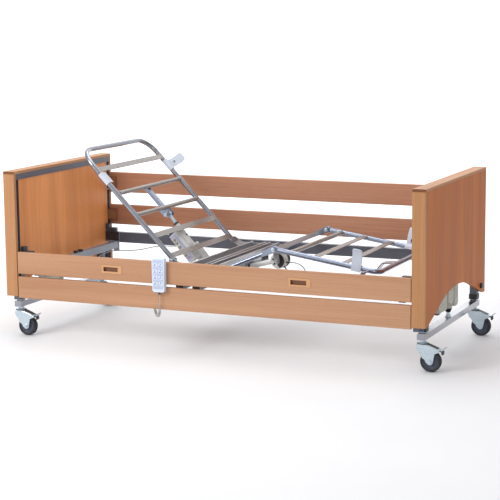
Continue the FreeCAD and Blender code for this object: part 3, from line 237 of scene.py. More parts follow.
# ---------------------------------------------------------------- materials
def wood(name, grain, light, dark, shift=0.0, gloss=0.42):
    """Beech laminate: long soft bands, fine fibres and short dark pores along one axis."""
    long = {"X": 0, "Y": 1, "Z": 2}[grain]

    def stretch(along, across):
        scale = [across] * 3
        scale[long] = along
        return tuple(scale)

    g = Graph(name, Roughness=gloss, Specular_IOR_Level=0.2)
    moved = (shift, shift * 1.7, shift * 0.6)
    bands = g.noise(stretch(0.5, 9.0), 1.0, 4.0, 0.55, 0.6, moved)
    fibres = g.noise(stretch(2.5, 260.0), 1.0, 3.0, 0.6, 0.2, moved)
    pores = g.noise(stretch(28.0, 950.0), 1.0, 2.0, 0.5, 0.0, moved)
    tone = g.math("MULTIPLY_ADD", fibres, 0.45, g.math("MULTIPLY", bands, 0.6))
    colour = g.ramp(tone, (0.32, dark), (0.55, tuple((a + b) / 2 for a, b in zip(light, dark))), (0.74, light))
    fleck = g.range(pores, 0.60, 0.72, 0.0, 0.35)
    colour = g.mix(fleck, colour, scaled(dark, 0.62))
    g.bump(g.math("SUBTRACT", fibres, g.math("MULTIPLY", pores, 0.6)), 0.12, 0.0004)
    rough = g.range(fibres, 0.3, 0.7, gloss - 0.05, gloss + 0.1)
    return g, colour, rough


def edge_wood():
    """Cheeks with upright grain and caps with grain across the bed, dark where the end grain shows."""
    g, upright, rough = wood("wood_edges", "Z", CHEEK_LIGHT, CHEEK_DARK, 5.2)
    bands = g.noise((9.0, 0.5, 9.0), 1.0, 4.0, 0.55, 0.6, (2.0, 1.0, 4.0))
    fibres = g.noise((260.0, 2.5, 260.0), 1.0, 3.0, 0.6, 0.2)
    tone = g.math("MULTIPLY_ADD", fibres, 0.45, g.math("MULTIPLY", bands, 0.6))
    across = g.ramp(tone, (0.32, CAP_DARK), (0.74, CAP_LIGHT))
    speckle = g.noise((700.0, 30.0, 900.0), 1.0, 2.0)
    end_grain = g.ramp(speckle, (0.35, linear(96, 58, 34)), (0.7, linear(146, 96, 60)))
    normal = g.node("ShaderNodeSeparateXYZ", Vector=g.node("ShaderNodeTexCoord").outputs["Normal"])
    facing = g.math("GREATER_THAN", g.math("ABSOLUTE", normal.outputs["Y"]), 0.7)
    cap = g.above("Z", 0.842)
    return g.out(Base_Color=g.mix(cap, upright, g.mix(facing, across, end_grain)), Roughness=rough)


def rail_wood(name, light, dark, shift):
    """Beam laminate with brown plastic sliders on its inner side."""
    material = finished(wood(name, "X", light, dark, shift))
    g = Graph.again(material)
    inner = g.math("SUBTRACT", 1.0, g.beyond("Y", 0.4748))
    accent(g, inner, linear(140, 98, 70), 0.34)
    return material


def finished(parts):
    """Material from a graph with its colour and roughness sockets."""
    g, colour, rough = parts
    return g.out(Base_Color=colour, Roughness=rough)


def paint(name, colour, roughness=0.38, metallic=0.0, fleck=0.05, coat=0.2):
    """Powder-coated steel: orange-peel relief and faint tone changes."""
    g = Graph(name, Metallic=metallic, Roughness=roughness, Coat_Weight=coat, Coat_Roughness=0.2)
    peel = g.noise(size=900.0, detail=2.0)
    patches = g.noise(size=9.0, detail=3.0)
    tone = g.math("MULTIPLY_ADD", patches, 0.7, g.math("MULTIPLY", peel, 0.3))
    colours = g.ramp(tone, (0.3, scaled(colour, 1 - 2 * fleck)), (0.7, scaled(colour, 1 + 2 * fleck)))
    g.bump(peel, 0.025, 0.0002)
    return g.out(Base_Color=colours, Roughness=g.range(patches, 0.3, 0.7, roughness - 0.05, roughness + 0.08))


def painted_frame(name, *marks):
    """Blue-grey frame paint with marked regions in another finish: (mask maker, colour, metallic)."""
    material = paint(name, BLUE_GREY, 0.36)
    g = Graph.again(material)
    for mask, colour, metallic in marks:
        accent(g, mask(g), colour, 0.4, metallic)
    return material


def grip_plastic():
    """Wood-coloured plastic, with painted shade making it darker down in the recess."""
    material = plastic("grip_plastic", linear(202, 152, 108), 0.34, 900.0, 0.05)
    g = Graph.again(material)
    face = abs(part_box("near_rail_grips")[0][1] - MIDDLE.y)
    # painted shade: everything set back more than 4.5 mm from the grip's face is coloured dark brown to stand
    # for the recess's shadow
    accent(g, g.math("SUBTRACT", 1.0, g.beyond("Y", face - 0.0045)), linear(124, 80, 52), 0.42)
    return material


def two_tone_disc():
    """End discs of the thigh motor: pale towards the head, black towards the foot."""
    material = plastic("two_tone_plastic", linear(206, 206, 204), 0.38)
    g = Graph.again(material)
    accent(g, g.above("X", bed(204, 0, 0).x), BLACK, 0.4)
    return material


def galvanised(name, colour, roughness=0.3):
    """Zinc-coated sheet steel with a soft spangle and rolling marks."""
    g = Graph(name, Metallic=0.8, Roughness=roughness)
    value = g.noise(size=26.0, detail=3.0, distortion=0.8)
    lines = g.noise((4.0, 420.0, 420.0), 1.0, 2.0)
    tone = g.math("MULTIPLY_ADD", value, 0.4, g.math("MULTIPLY", lines, 0.6))
    colours = g.ramp(tone, (0.2, scaled(colour, 0.88)), (0.8, scaled(colour, 1.08)))
    g.bump(lines, 0.03, 0.0002)
    return g.out(Base_Color=colours, Roughness=g.range(value, 0.0, 1.0, roughness - 0.03, roughness + 0.06))


def plastic(name, colour, roughness=0.42, grain=700.0, depth=0.1):
    """Moulded plastic with spark-eroded grain."""
    g = Graph(name, Roughness=roughness, IOR=1.48)
    fine = g.noise(size=grain, detail=2.0)
    cloud = g.noise(size=14.0, detail=2.0)
    colours = g.ramp(cloud, (0.3, scaled(colour, 0.95)), (0.7, scaled(colour, 1.03)))
    g.bump(fine, depth, 0.0003)
    return g.out(Base_Color=colours, Roughness=g.range(fine, 0.3, 0.7, roughness - 0.04, roughness + 0.08))


def rubber(name):
    """Dark grey tyre rubber with faint dust near the tread."""
    g = Graph(name, Roughness=0.62, Specular_IOR_Level=0.22)
    dust = g.noise(size=120.0, detail=4.0)
    colours = g.ramp(dust, (0.35, (0.021, 0.022, 0.025)), (0.75, (0.06, 0.062, 0.068)))
    g.bump(g.noise(size=1400.0, detail=2.0), 0.15, 0.0003)
    return g.out(Base_Color=colours)


NEAR_LIGHT, NEAR_DARK = linear(196, 152, 120), linear(169, 123, 92)
FAR_LIGHT, FAR_DARK = linear(193, 142, 115), linear(160, 107, 80)
HEAD_LIGHT, HEAD_DARK = linear(252, 172, 110), linear(204, 128, 72)
FOOT_LIGHT, FOOT_DARK = linear(210, 120, 38), linear(164, 84, 18)
CHEEK_LIGHT, CHEEK_DARK = linear(194, 144, 103), linear(162, 112, 72)
CAP_LIGHT, CAP_DARK = linear(206, 152, 108), linear(168, 112, 72)
BLUE_GREY = linear(86, 89, 100)
BLACK = (0.018, 0.018, 0.021)


def make_materials():
    """One material for each finish on the bed."""
    made = {
        "head_board": finished(wood("wood_head_board", "Z", HEAD_LIGHT, HEAD_DARK, 0.0)),
        "foot_board": finished(wood("wood_foot_board", "Z", FOOT_LIGHT, FOOT_DARK, 4.0)),
        "edges": edge_wood(),
        "near_rail": rail_wood("wood_near_rail", NEAR_LIGHT, NEAR_DARK, 3.1),
        "far_rail": rail_wood("wood_far_rail", FAR_LIGHT, FAR_DARK, 7.3),
        "grip": grip_plastic(),
        "blue_grey": paint("blue_grey_paint", BLUE_GREY, 0.36),
        "head_frame": painted_frame(
            "head_frame_paint",
            (lambda g: g.below("X", bed(-965, 0, 0).x), linear(136, 141, 152), 0.35),
            (lambda g: g.math("MULTIPLY", g.above("Z", 0.3735), g.below("X", bed(-968, 0, 0).x)), BLACK, 0.0)),
        "couplings": painted_frame(
            "coupling_paint", (lambda g: g.below("Z", 0.3608), BLACK, 0.0)),
        "fitting": plastic("fitting_plastic", linear(62, 65, 74), 0.42),
        "silver": paint("silver_paint", linear(152, 154, 162), 0.17, 0.95, 0.03, 0.4),
        "blue_silver": paint("blue_silver_paint", linear(146, 154, 172), 0.24, 0.8, 0.03, 0.3),
        "slat": paint("slat_paint", linear(152, 146, 142), 0.3, 0.6, 0.05, 0.15),
        "galvanised": galvanised("galvanised_steel", linear(188, 188, 191), 0.28),
        "zinc": galvanised("bright_zinc", linear(196, 210, 219), 0.27),
        "black": plastic("black_plastic", BLACK, 0.4),
        "white": plastic("white_plastic", linear(206, 206, 204), 0.38),
        "clear_grey": plastic("clear_grey_plastic", linear(200, 206, 218), 0.36),
        "beige": plastic("beige_plastic", linear(178, 176, 164), 0.4),
        "handset": plastic("handset_plastic", linear(212, 222, 240), 0.42, 800.0, 0.08),
        "key": plastic("key_plastic", linear(208, 218, 236), 0.5, 1000.0, 0.06),
        "keypad": plastic("keypad_plastic", linear(182, 192, 214), 0.46),
        "hub": plastic("hub_plastic", linear(66, 71, 86), 0.45),
        "dark_zinc": galvanised("dark_zinc", linear(112, 120, 128), 0.3),
        "symbol": plastic("symbol_ink", linear(46, 52, 70), 0.55, 900.0, 0.02),
        "dark_grey": plastic("dark_grey_plastic", linear(58, 60, 66), 0.45),
        "two_tone": two_tone_disc(),
        "lamp": plastic("lamp_lens", linear(196, 206, 190), 0.2, 500.0, 0.02),
        "pale": plastic("pale_grey_plastic", linear(204, 212, 226), 0.4),
        "warm_grey": plastic("warm_grey_plastic", linear(156, 152, 142), 0.45),
        "lavender": plastic("lavender_plastic", linear(176, 176, 204), 0.42),
        "blue": plastic("blue_clip", linear(96, 124, 172), 0.42),
        "lead": plastic("lead_sheath", linear(176, 176, 174), 0.45, 900.0, 0.04),
        "grey_lead": plastic("grey_lead_sheath", linear(128, 129, 132), 0.45, 900.0, 0.04),
        "rubber": rubber("tyre_rubber"),
    }
    return made


NODE_FINISH = {
    "head_board": ("head_board_panels",),
    "foot_board": ("foot_board_panels",),
    "edges": ("head_board_edges", "foot_board_edges"),
    "near_rail": ("near_top_rail", "near_low_rail"),
    "far_rail": ("far_top_rail", "far_low_rail"),
    "grip": ("near_rail_grips", "far_rail_grips"),
    "blue_grey": ("head_end_frame", "foot_end_frame", "platform_foot_frame", "rail_guides"),
    "head_frame": ("platform_head_frame",),
    "couplings": ("frame_couplings",),
    "silver": ("head_base_frame", "foot_base_frame", "backrest_frame"),
    "blue_silver": ("backrest_spine", "leg_frame", "thigh_tubes"),
    "slat": ("backrest_slats", "leg_slats"),
    "galvanised": ("seat_frame", "thigh_channels", "leg_prop"),
    "zinc": ("head_lift_spindle", "foot_lift_spindle", "backrest_push_rod", "thigh_push_rod"),
    "black": ("column_collars_and_buffers",),
    "fitting": ("side_tube_fittings",),
    "white": ("backrest_motor", "control_box", "thigh_motor"),
    "clear_grey": ("backrest_retainers", "leg_retainers"),
    "beige": ("head_lift_motor", "foot_lift_motor"),
    "handset": ("handset_case",),
    "lead": ("head_lift_lead", "thigh_motor_lead", "handset_cord"),
}


def finish_for(name):
    """Finish of a CAD node."""
    for finish, names in NODE_FINISH.items():
        if name in names:
            return finish
    for start, finish in (("castor_fork", "zinc"), ("castor_pedal", "zinc"), ("castor_wheel", "rubber"),
                          ("handset_key", "key")):
        if name.startswith(start):
            return finish
    raise ValueError("no finish for " + name)


def dress_nodes(materials):
    """Gives every CAD node its material."""
    for name, node in nodes.items():
        node.data.materials.clear()
        node.data.materials.append(materials[finish_for(name)])


# ---------------------------------------------------------------- mesh helpers
BED = Matrix.Translation((MIDDLE.x, MIDDLE.y, 0)) @ Matrix.Scale(MM, 4)


def along(origin, direction):
    """Local frame in millimetres: x along a direction in the bed's long plane, z upwards from it."""
    d = Vector(direction).normalized()
    x, z = Vector((d.x, 0, d.z)), Vector((abs(d.z), 0, -d.x if d.z > 0 else d.x))
    if z.z < 0:
        z = -z
    turn = Matrix((x, ACROSS, z)).transposed().to_4x4()
    return BED @ Matrix.Translation(origin) @ turn


def linked(name, data):
    """Object for a mesh, a curve or a lamp, in the scene."""
    obj = bpy.data.objects.new(name, data)
    bpy.context.scene.collection.objects.link(obj)
    return obj


def smooth_object(name, bm, material):
    """Object with smooth shading from a finished bmesh."""
    mesh = bpy.data.meshes.new(name)
    bm.to_mesh(mesh)
    bm.free()
    mesh.materials.append(material)
    mesh.shade_smooth()
    return linked(name, mesh)


def make(name, bm, frame_matrix, finish, body, bevel=0.0, segments=2, replaces=(), solid=0.0, angle=35):
    """Turns local millimetres into a piece that rides on a body."""
    bmesh.ops.remove_doubles(bm, verts=bm.verts, dist=1e-5)
    bmesh.ops.transform(bm, matrix=frame_matrix, verts=bm.verts)
    bmesh.ops.recalc_face_normals(bm, faces=bm.faces)
    piece = smooth_object(name, bm, materials[finish])
    if solid:
        wall = piece.modifiers.new("wall", "SOLIDIFY")
        wall.thickness, wall.offset = solid * MM, -1.0
    if bevel:
        edges = piece.modifiers.new("edges", "BEVEL")
        edges.width, edges.segments = bevel * MM, segments
        edges.limit_method, edges.angle_limit = "ANGLE", math.radians(angle)
        edges.harden_normals = True
    else:
        piece.data.set_sharp_from_angle(angle=math.radians(angle))
    if replaces:
        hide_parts(*replaces)
    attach(piece, body)
    return piece


def ring_of(bm, points):
    """New vertices for a list of points."""
    return [bm.verts.new(p) for p in points]


def join(bm, first, second, closed=True):
    """Quads between two rows of vertices."""
    count = len(first)
    for i in range(count if closed else count - 1):
        j = (i + 1) % count
        bm.faces.new((first[i], first[j], second[j], second[i]))


def skin(bm, rows, closed=False):
    """Walls between rows of vertices, then caps, or a wall back to the first row."""
    for first, second in zip(rows, rows[1:]):
        join(bm, first, second)
    if closed:
        join(bm, rows[-1], rows[0])
    else:
        bm.faces.new(rows[0])
        bm.faces.new(rows[-1])


def lathe(bm, centre, axis, profile, steps=40, closed=False):
    """Turned shape from (radius, distance along the axis) points; open profiles are capped."""
    axis = Vector(axis).normalized()
    side = axis.orthogonal().normalized()
    other = axis.cross(side)
    rows = []
    for radius, run in profile:
        middle = Vector(centre) + axis * run
        rows.append(ring_of(bm, [middle + (side * math.cos(a) + other * math.sin(a)) * radius
                                 for a in (2 * math.pi * i / steps for i in range(steps))]))
    skin(bm, rows, closed)


def turn_new(bm, start, matrix):
    """Moves the vertices made since a count."""
    bm.verts.ensure_lookup_table()
    bmesh.ops.transform(bm, matrix=matrix, verts=bm.verts[start:])


def slab(bm, outline, y0, y1):
    """Flat piece from an outline of (x, z) points, between two y values."""
    skin(bm, [ring_of(bm, [(x, y, z) for x, z in outline]) for y in (y0, y1)])


def block(bm, x0, x1, y0, y1, z0, z1):
    """Box between two corners."""
    slab(bm, [(x0, z0), (x1, z0), (x1, z1), (x0, z1)], y0, y1)


def rounded_outline(x0, x1, z0, z1, radius, steps=5):
    """Rectangle with round corners, as (x, z) points."""
    points = []
    for cx, cz, start in ((x1 - radius, z1 - radius, 0), (x0 + radius, z1 - radius, 90),
                          (x0 + radius, z0 + radius, 180), (x1 - radius, z0 + radius, 270)):
        for i in range(steps + 1):
            a = math.radians(start + 90 * i / steps)
            points.append((cx + radius * math.cos(a), cz + radius * math.sin(a)))
    return points


def column(bm, outline, z0, z1):
    """Upright piece from an outline of (x, y) points."""
    skin(bm, [ring_of(bm, [(x, y, z) for x, y in outline]) for z in (z0, z1)])


def beam(bm, outline, x0, x1):
    """Piece along x from an outline of (y, z) points."""
    skin(bm, [ring_of(bm, [(x, y, z) for y, z in outline]) for x in (x0, x1)])


def tube(bm, points, radius, steps=10):
    """Round tube along points that lie close together."""
    points = [Vector(p) for p in points]
    heading = (points[1] - points[0]).normalized()
    side = heading.orthogonal().normalized()
    rows = []
    for i, p in enumerate(points):
        ahead = points[min(i + 1, len(points) - 1)] - points[max(i - 1, 0)]
        ahead.normalize()
        side = (side - ahead * side.dot(ahead)).normalized()
        other = ahead.cross(side)
        rows.append(ring_of(bm, [p + (side * math.cos(a) + other * math.sin(a)) * radius
                                 for a in (2 * math.pi * k / steps for k in range(steps))]))
    skin(bm, rows)


def hex_head(bm, centre, axis, radius, height):
    """Hexagon bolt head, its chamfer and a washer under it."""
    lathe(bm, centre, axis, [(radius, 1.2), (radius, height * 0.8), (radius * 0.86, height)], 6)
    lathe(bm, centre, axis, [(radius * 1.28, 0), (radius * 1.28, 1.4)], 24)


def socket_head(bm, centre, axis, radius, height):
    """Round screw head with a socket."""
    lathe(bm, centre, axis, [(radius, 0), (radius, height * 0.6), (radius * 0.8, height),
                             (radius * 0.5, height), (radius * 0.5, height * 0.45)], 20)


def screws(bm, places, axis, radius, height):
    """Socket heads that look the same way."""
    for place in places:
        socket_head(bm, place, axis, radius, height)


def arc(cx, cz, radius, start, end, steps=10):
    """Points on an arc, angles in degrees."""
    return [(cx + radius * math.cos(math.radians(start + (end - start) * i / steps)),
             cz + radius * math.sin(math.radians(start + (end - start) * i / steps)))
            for i in range(steps + 1)]


def joint_place(name):
    """Bed position in millimetres of a hinge at rest."""
    joint = next(j for j in frame["joints"] if j["name"] == name)
    p = (Vector(joint["pos_m"]) - Vector((MIDDLE.x, MIDDLE.y, 0))) / MM
    return p


# ---------------------------------------------------------------- castors
def fork_lower_edge(x):
    """Height of the fork's lower edge above the floor, x counted from the swivel axis."""
    corners = [(-25, 112), (-16, 92), (10, 62), (26, 43), (54, 43), (58, 66), (64, 90), (86, 97)]
    edge = corners[-1][1]
    for (xa, za), (xb, zb) in zip(corners, corners[1:]):
        if xa <= x <= xb:
            t = (x - xa) / (xb - xa)
            edge = za + (zb - za) * t * t * (3 - 2 * t)
            break
    if abs(x - 40) < 15:
        edge = min(edge, 50 - math.sqrt(15 ** 2 - (x - 40) ** 2))
    return edge


def fork_top_edge(x):
    """Height of the fork's top, level over the swivel and falling to the brake."""
    if x < 20:
        return 131.0
    return 131.0 - 24.0 * ((x - 20) / 66.0) ** 1.15


def castor(tag):
    """One braked castor: pressed fork, swivel ring, axle bolt, tyre, hub and brake lever."""
    swivel, axle = joint_place("swivel_" + tag), joint_place("wheel_spin_" + tag)
    pin = joint_place("brake_pedal_" + tag)
    here = BED @ Matrix.Translation((swivel.x, swivel.y, 0))
    bm = bmesh.new()
    rows = []
    half, corner = 22.5, 7.0
    for i in range(45):
        x = -25 + 111 * i / 44
        top, low = fork_top_edge(x), fork_lower_edge(x)
        crown = [(half - corner + corner * math.sin(a), top - corner + corner * math.cos(a))
                 for a in (math.pi / 2 * k / 4 for k in range(5))]
        side = [(half, top - corner + (low - top + corner) * k / 6) for k in range(1, 7)]
        right = crown + side
        section = [(-y, z) for y, z in reversed(right)] + right
        rows.append(ring_of(bm, [(x, y, z) for y, z in section]))
    for first, second in zip(rows, rows[1:]):
        join(bm, first, second, closed=False)
    make("castor_fork_shell_" + tag, bm, here, "zinc", "castor_" + tag, 0.8, 2,
         replaces=("castor_fork_" + tag,), solid=3.2)

    bm = bmesh.new()
    lathe(bm, ORIGIN, UP, [(16, 124), (25.5, 124), (26, 126), (26, 129.5), (24, 131.2)], 48)
    lathe(bm, ORIGIN, UP, [(24, 134.2), (26, 135), (26, 137), (22, 138.4), (14, 139)], 48)
    lathe(bm, ORIGIN, UP, [(15.5, 139), (15.5, 146), (14, 147.2)], 6)
    lathe(bm, ORIGIN, UP, [(16.5, 147.4), (16.5, 149.6)], 32)
    for side in (-1, 1):
        hex_head(bm, (axle.x - swivel.x, side * 22.5, axle.z), (0, side, 0), 9.0, 6.5)
        lathe(bm, (pin.x - swivel.x, side * 21.5, pin.z), (0, side, 0), [(5, 0), (5, 1.4), (3.4, 2.6)], 20)
    lathe(bm, (axle.x - swivel.x, -23, axle.z), ACROSS, [(4.9, 0), (4.9, 46)], 20)
    lathe(bm, (pin.x - swivel.x, -22, pin.z), ACROSS, [(2.9, 0), (2.9, 44)], 16)
    make("castor_swivel_parts_" + tag, bm, here, "zinc", "castor_" + tag, 0.5, 2)
    bm = bmesh.new()
    lathe(bm, ORIGIN, UP, [(20, 130.6), (27, 130.6), (27.4, 132.6), (27, 134.8), (20, 134.8)], 48,
          closed=True)
    make("castor_swivel_seal_" + tag, bm, here, "black", "castor_" + tag, 0.5)

    wheel = BED @ Matrix.Translation(axle)
    bm = bmesh.new()
    half_tyre = [(37.6, 14.6), (38.6, 15.8), (44.5, 16), (47.8, 14.4), (49.4, 11.2), (49.9, 6)]
    profile = [(r, -y) for r, y in half_tyre] + [(r, y) for r, y in reversed(half_tyre)]
    lathe(bm, ORIGIN, ACROSS, profile, 72, closed=True)
    make("castor_tyre_" + tag, bm, wheel, "rubber", "wheel_" + tag,
         replaces=("castor_wheel_" + tag,), angle=50)
    bm = bmesh.new()
    half_hub = [(5.1, 17.6), (10.5, 17.6), (11.5, 16.6), (12.6, 11.5), (15, 9.6), (29, 8.6), (33, 10.5),
                (35, 13.6), (37.6, 14.2)]
    profile = [(r, -y) for r, y in half_hub] + [(r, y) for r, y in reversed(half_hub)]
    lathe(bm, ORIGIN, ACROSS, profile, 60, closed=True)
    for i in range(6):
        a = math.pi * i / 3
        middle = Vector((math.cos(a) * 22, 0, math.sin(a) * 22))
        rib = Matrix.Translation(middle) @ Matrix.Rotation(-a, 4, "Y")
        start = len(bm.verts)
        block(bm, -10.5, 10.5, -11.2, 11.2, -1.6, 1.6)
        turn_new(bm, start, rib)
    make("castor_hub_" + tag, bm, wheel, "hub", "wheel_" + tag, 0.7, 2)

    lever = BED @ Matrix.Translation(pin)
    bm = bmesh.new()
    top = [(-7, 3), (8, 3.5), (20, 3), (30, 9), (36.6, 16.5)]
    sheet = top + [(x + 1.6, z - 3.2) for x, z in reversed(top)]
    slab(bm, sheet, -13, 13)
    lathe(bm, (0, -13, 0), ACROSS, [(3.1, 0), (6.2, 0), (6.2, 26), (3.1, 26)], 24, closed=True)
    make("brake_lever_" + tag, bm, lever, "zinc", "pedal_" + tag, 1.0, 2,
         replaces=("castor_pedal_" + tag,))
    bm = bmesh.new()
    down = [(4, 0.6), (24, 0.6), (27, -4), (26.5, -19), (19, -21), (17, -8), (13, -4.5), (5, -4)]
    slab(bm, down, -10.5, 10.5)
    make("brake_tab_" + tag, bm, lever, "dark_grey", "pedal_" + tag, 1.2, 2)
    bm = bmesh.new()
    for k in range(4):
        t = 0.25 + 0.2 * k
        x, z = 20 + 17.5 * t, 3 + 13.5 * t
        block(bm, x - 0.7, x + 0.7, -10, 10, z + 0.2, z + 1.5)
    make("brake_lever_ribs_" + tag, bm, lever, "dark_zinc", "pedal_" + tag, 0.3)
    bm = bmesh.new()
    rows = []
    for i in range(13):
        x = 24 + 52 * i / 12
        z = fork_top_edge(x)
        corners = ((-15.5, -1.5), (-15.5, 0.9), (15.5, 0.9), (15.5, -1.5))
        rows.append(ring_of(bm, [(x, y, z + dz) for y, dz in corners]))
    skin(bm, rows)
    make("castor_hood_pad_" + tag, bm, here, "dark_grey", "castor_" + tag, 0.4)


# ---------------------------------------------------------------- handset and its lead
def handset():
    """Slim hand control: rounded shell, keypad panel, hook over the rail, bend relief."""
    low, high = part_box("handset_case")
    size = [(c - Vector((MIDDLE.x, MIDDLE.y, 0))) / MM for c in (low, high)]
    x0, x1, z1 = size[0].x, size[1].x, 466.0
    z0, y0 = 297.0, size[0].y
    y1 = y0 + 27.0
    bm = bmesh.new()
    outline = rounded_outline(x0, x1, z0, z1, 11, 8)
    waist = [(x + (0.0 if z > 380 else (2.2 if x < (x0 + x1) / 2 else -2.2) * (380 - z) / 83), z)
             for x, z in outline]
    slab(bm, waist, y0 + 1.2, y1)
    make("handset_shell", bm, BED, "handset", "near_top_rail", 3.2, 4, replaces=("handset_case",))
    middle = (x0 + x1) / 2
    bm = bmesh.new()
    slab(bm, rounded_outline(x0 + 6, x1 - 6, 312, 459, 6, 6), y0 + 1.0, y0 + 3)
    make("handset_keypad", bm, BED, "keypad", "near_top_rail", 0.4)
    bm = bmesh.new()
    block(bm, middle - 14, middle + 14, y1 - 1, y1 + 29.5, 445.6, 448.6)
    block(bm, middle - 14, middle + 14, y1 + 26.5, y1 + 29.5, 420, 448.6)
    block(bm, middle - 18, middle + 18, y1 - 2, y1 + 1.5, 425, 449)
    make("handset_hook", bm, BED, "handset", "near_top_rail", 1.2, 3)
    bm = bmesh.new()
    yc = (y0 + y1) / 2
    ribbed = [(6.6, 0), (6.4, 3), (4.6, 4), (5.8, 5), (5.6, 6.4), (4.2, 7.2), (5.2, 8.2), (5.0, 9.6),
              (3.9, 10.3), (4.6, 11.2), (4.2, 13)]
    lathe(bm, (middle, yc, z0 + 1), (0, 0, -1), ribbed, 24)
    make("handset_bend_relief", bm, BED, "dark_grey", "near_top_rail", 0.3)
    bm = bmesh.new()
    for k in range(3):
        lathe(bm, (middle - 12 + 12 * k, y0 + 0.8, 453), (0, -1, 0), [(1.6, 0), (1.6, 0.5), (0.8, 0.9)], 14)
    make("handset_lamps", bm, BED, "lamp", "near_top_rail")
    for row in range(4):
        centre = joint_place("key_%d_rock" % (row + 1))
        bm = bmesh.new()
        for side in (-1, 1):
            outline = rounded_outline(middle + side * 15 - 11.5, middle + side * 15 + 11.5,
                                      centre.z - 9.5, centre.z + 9.5, 4.5, 5)
            slab(bm, outline, y0 - 1.6 + 1.2, y0 + 5)
        make("key_pads_%d" % (row + 1), bm, BED, "key", "key_%d" % (row + 1), 0.9, 3,
             replaces=("handset_key_%d" % (row + 1),))
        bm = bmesh.new()
        for side in (-1, 1):
            x, tip = middle + side * 15, -side
            low = centre.z - 5.5
            base = centre.z + 4 - 3 * tip
            arrow = [(x - 3.4, base), (x + 3.4, base), (x, centre.z + 4 + 3.4 * tip)]
            slab(bm, arrow, y0 - 0.75, y0 - 0.35)
            bent = [(x - 7, low), (x + 7, low + 0.6 * row), (x + 7, low + 1.6 + 0.6 * row), (x - 1, low + 1.6),
                    (x - 6, low + 4.4), (x - 7, low + 3)]
            slab(bm, bent, y0 - 0.75, y0 - 0.35)
        make("key_symbols_%d" % (row + 1), bm, BED, "symbol", "key_%d" % (row + 1))


def route_curve(name, points, resolution):
    """Smooth curve that a cord's route guides."""
    curve = bpy.data.curves.new(name, "CURVE")
    curve.dimensions, curve.resolution_u = "3D", resolution
    spline = curve.splines.new("NURBS")
    spline.points.add(len(points) - 1)
    for p, q in zip(spline.points, points):
        p.co = (*q, 1)
    spline.order_u = 3
    spline.use_endpoint_u = True
    return curve


def smooth_line(points):
    """Points along the smooth curve of a route."""
    curve = route_curve("route", points, 24)
    obj = bpy.data.objects.new("route", curve)
    mesh = bpy.data.meshes.new_from_object(obj)
    line = [v.co.copy() for v in mesh.vertices]
    bpy.data.objects.remove(obj)
    bpy.data.curves.remove(curve)
    bpy.data.meshes.remove(mesh)
    return line


def evenly(line, step):
    """Same line, resampled to even steps."""
    out, left = [line[0]], 0.0
    for a, b in zip(line, line[1:]):
        length = (b - a).length
        while left + length >= step and length > 0:
            t = (step - left) / length
            a = a.lerp(b, t)
            length = (b - a).length
            out.append(a)
            left = 0.0
        left += length
    if (out[-1] - line[-1]).length > step * 0.3:
        out.append(line[-1])
    else:
        out[-1] = line[-1]
    return out


LEAD_R = 1.8
CURL_R = 5.2
CURL_TURNS = 27
CURL_EASE = 24.0


def handset_lead():
    """Curly lead from the handset round under the lower rail to the side tube."""
    x = joint_place("key_1_rock").x
    y = -513.5
    top = 284.7
    route = [(x, y, top), (x, y, top - 12), (x + 1.5, y - 1, top - 26), (x, y, top - 40), (x, y, 232),
             (x, y, 197), (x - 18, y + 19, 171), (x - 44, y + 47, 171), (x - 62, y + 66, 197),
             (x - 62, y + 66, 236), (x - 62, y + 66, 264), (x - 66, y + 69, 292), (x - 67, y + 72, 320),
             (x - 62, -440, 342), (x - 62, -440, 365)]
    line = evenly(smooth_line([Vector(p) for p in route]), 0.5)
    curl_start, curl_end = 46.0, (len(line) - 1) * 0.5 - 112.0

    def ease(run, over):
        return max(0.0, min(1.0, (run - curl_start) / over, (curl_end - run) / over))

    rates = [ease(i * 0.5, CURL_EASE) for i in range(len(line))]
    turn = 2 * math.pi * CURL_TURNS / sum(rates)
    path, side, angle = [], Vector(ALONG), 0.0
    for i, p in enumerate(line):
        ahead = (line[min(i + 1, len(line) - 1)] - line[max(i - 1, 0)]).normalized()
        side = (side - ahead * side.dot(ahead)).normalized()
        other = ahead.cross(side)
        open_part = ease(i * 0.5, CURL_EASE / 2)
        reach = CURL_R * open_part ** 2 * (3 - 2 * open_part)
        path.append(p + (side * math.cos(angle) + other * math.sin(angle)) * reach)
        angle += turn * rates[i]
    path = evenly(path, 1.6)
    bm = bmesh.new()
    tube(bm, path, LEAD_R, 8)
    bmesh.ops.transform(bm, matrix=BED, verts=bm.verts)
    bmesh.ops.recalc_face_normals(bm, faces=bm.faces)
    lead = smooth_object("handset_lead", bm, materials["lead"])
    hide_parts("handset_cord")
    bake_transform(lead)


HEAD_LEAD = [(-1044, 0, 296), (-1008, 4, 292), (-962, 30, 300), (-936, 86, 318), (-930, 150, 336),
             (-926, 214, 344), (-920, 276, 342), (-902, 334, 336), (-866, 380, 330), (-812, 402, 336),
             (-752, 408, 352), (-696, 412, 362), (-640, 420, 361), (-590, 431, 361.8)]
THIGH_LEAD = [(235.4, -20, 394), (266, -20, 396), (302, -21, 392), (332, -22, 374), (344, -24, 346),
              (330, -26, 322), (298, -27, 316), (266, -26, 330), (243, -25, 352), (226.5, -25, 374)]


def relief(name, start, towards, body):
    """Tapered ribbed sleeve over a lead where it leaves a housing."""
    bm = bmesh.new()
    profile = [(4.6, 0)]
    for k in range(4):
        reach = 4.4 - 0.35 * k
        rib = ((0, 1), (0, 3), (-0.8, 3.4), (-0.9, 4.6))
        profile += [(reach + more, run + 4 * k) for more, run in rib]
    lathe(bm, start, Vector(towards) - Vector(start), profile + [(2.9, 18)], 20)
    return make(name, bm, BED, "dark_grey", body, 0.2)


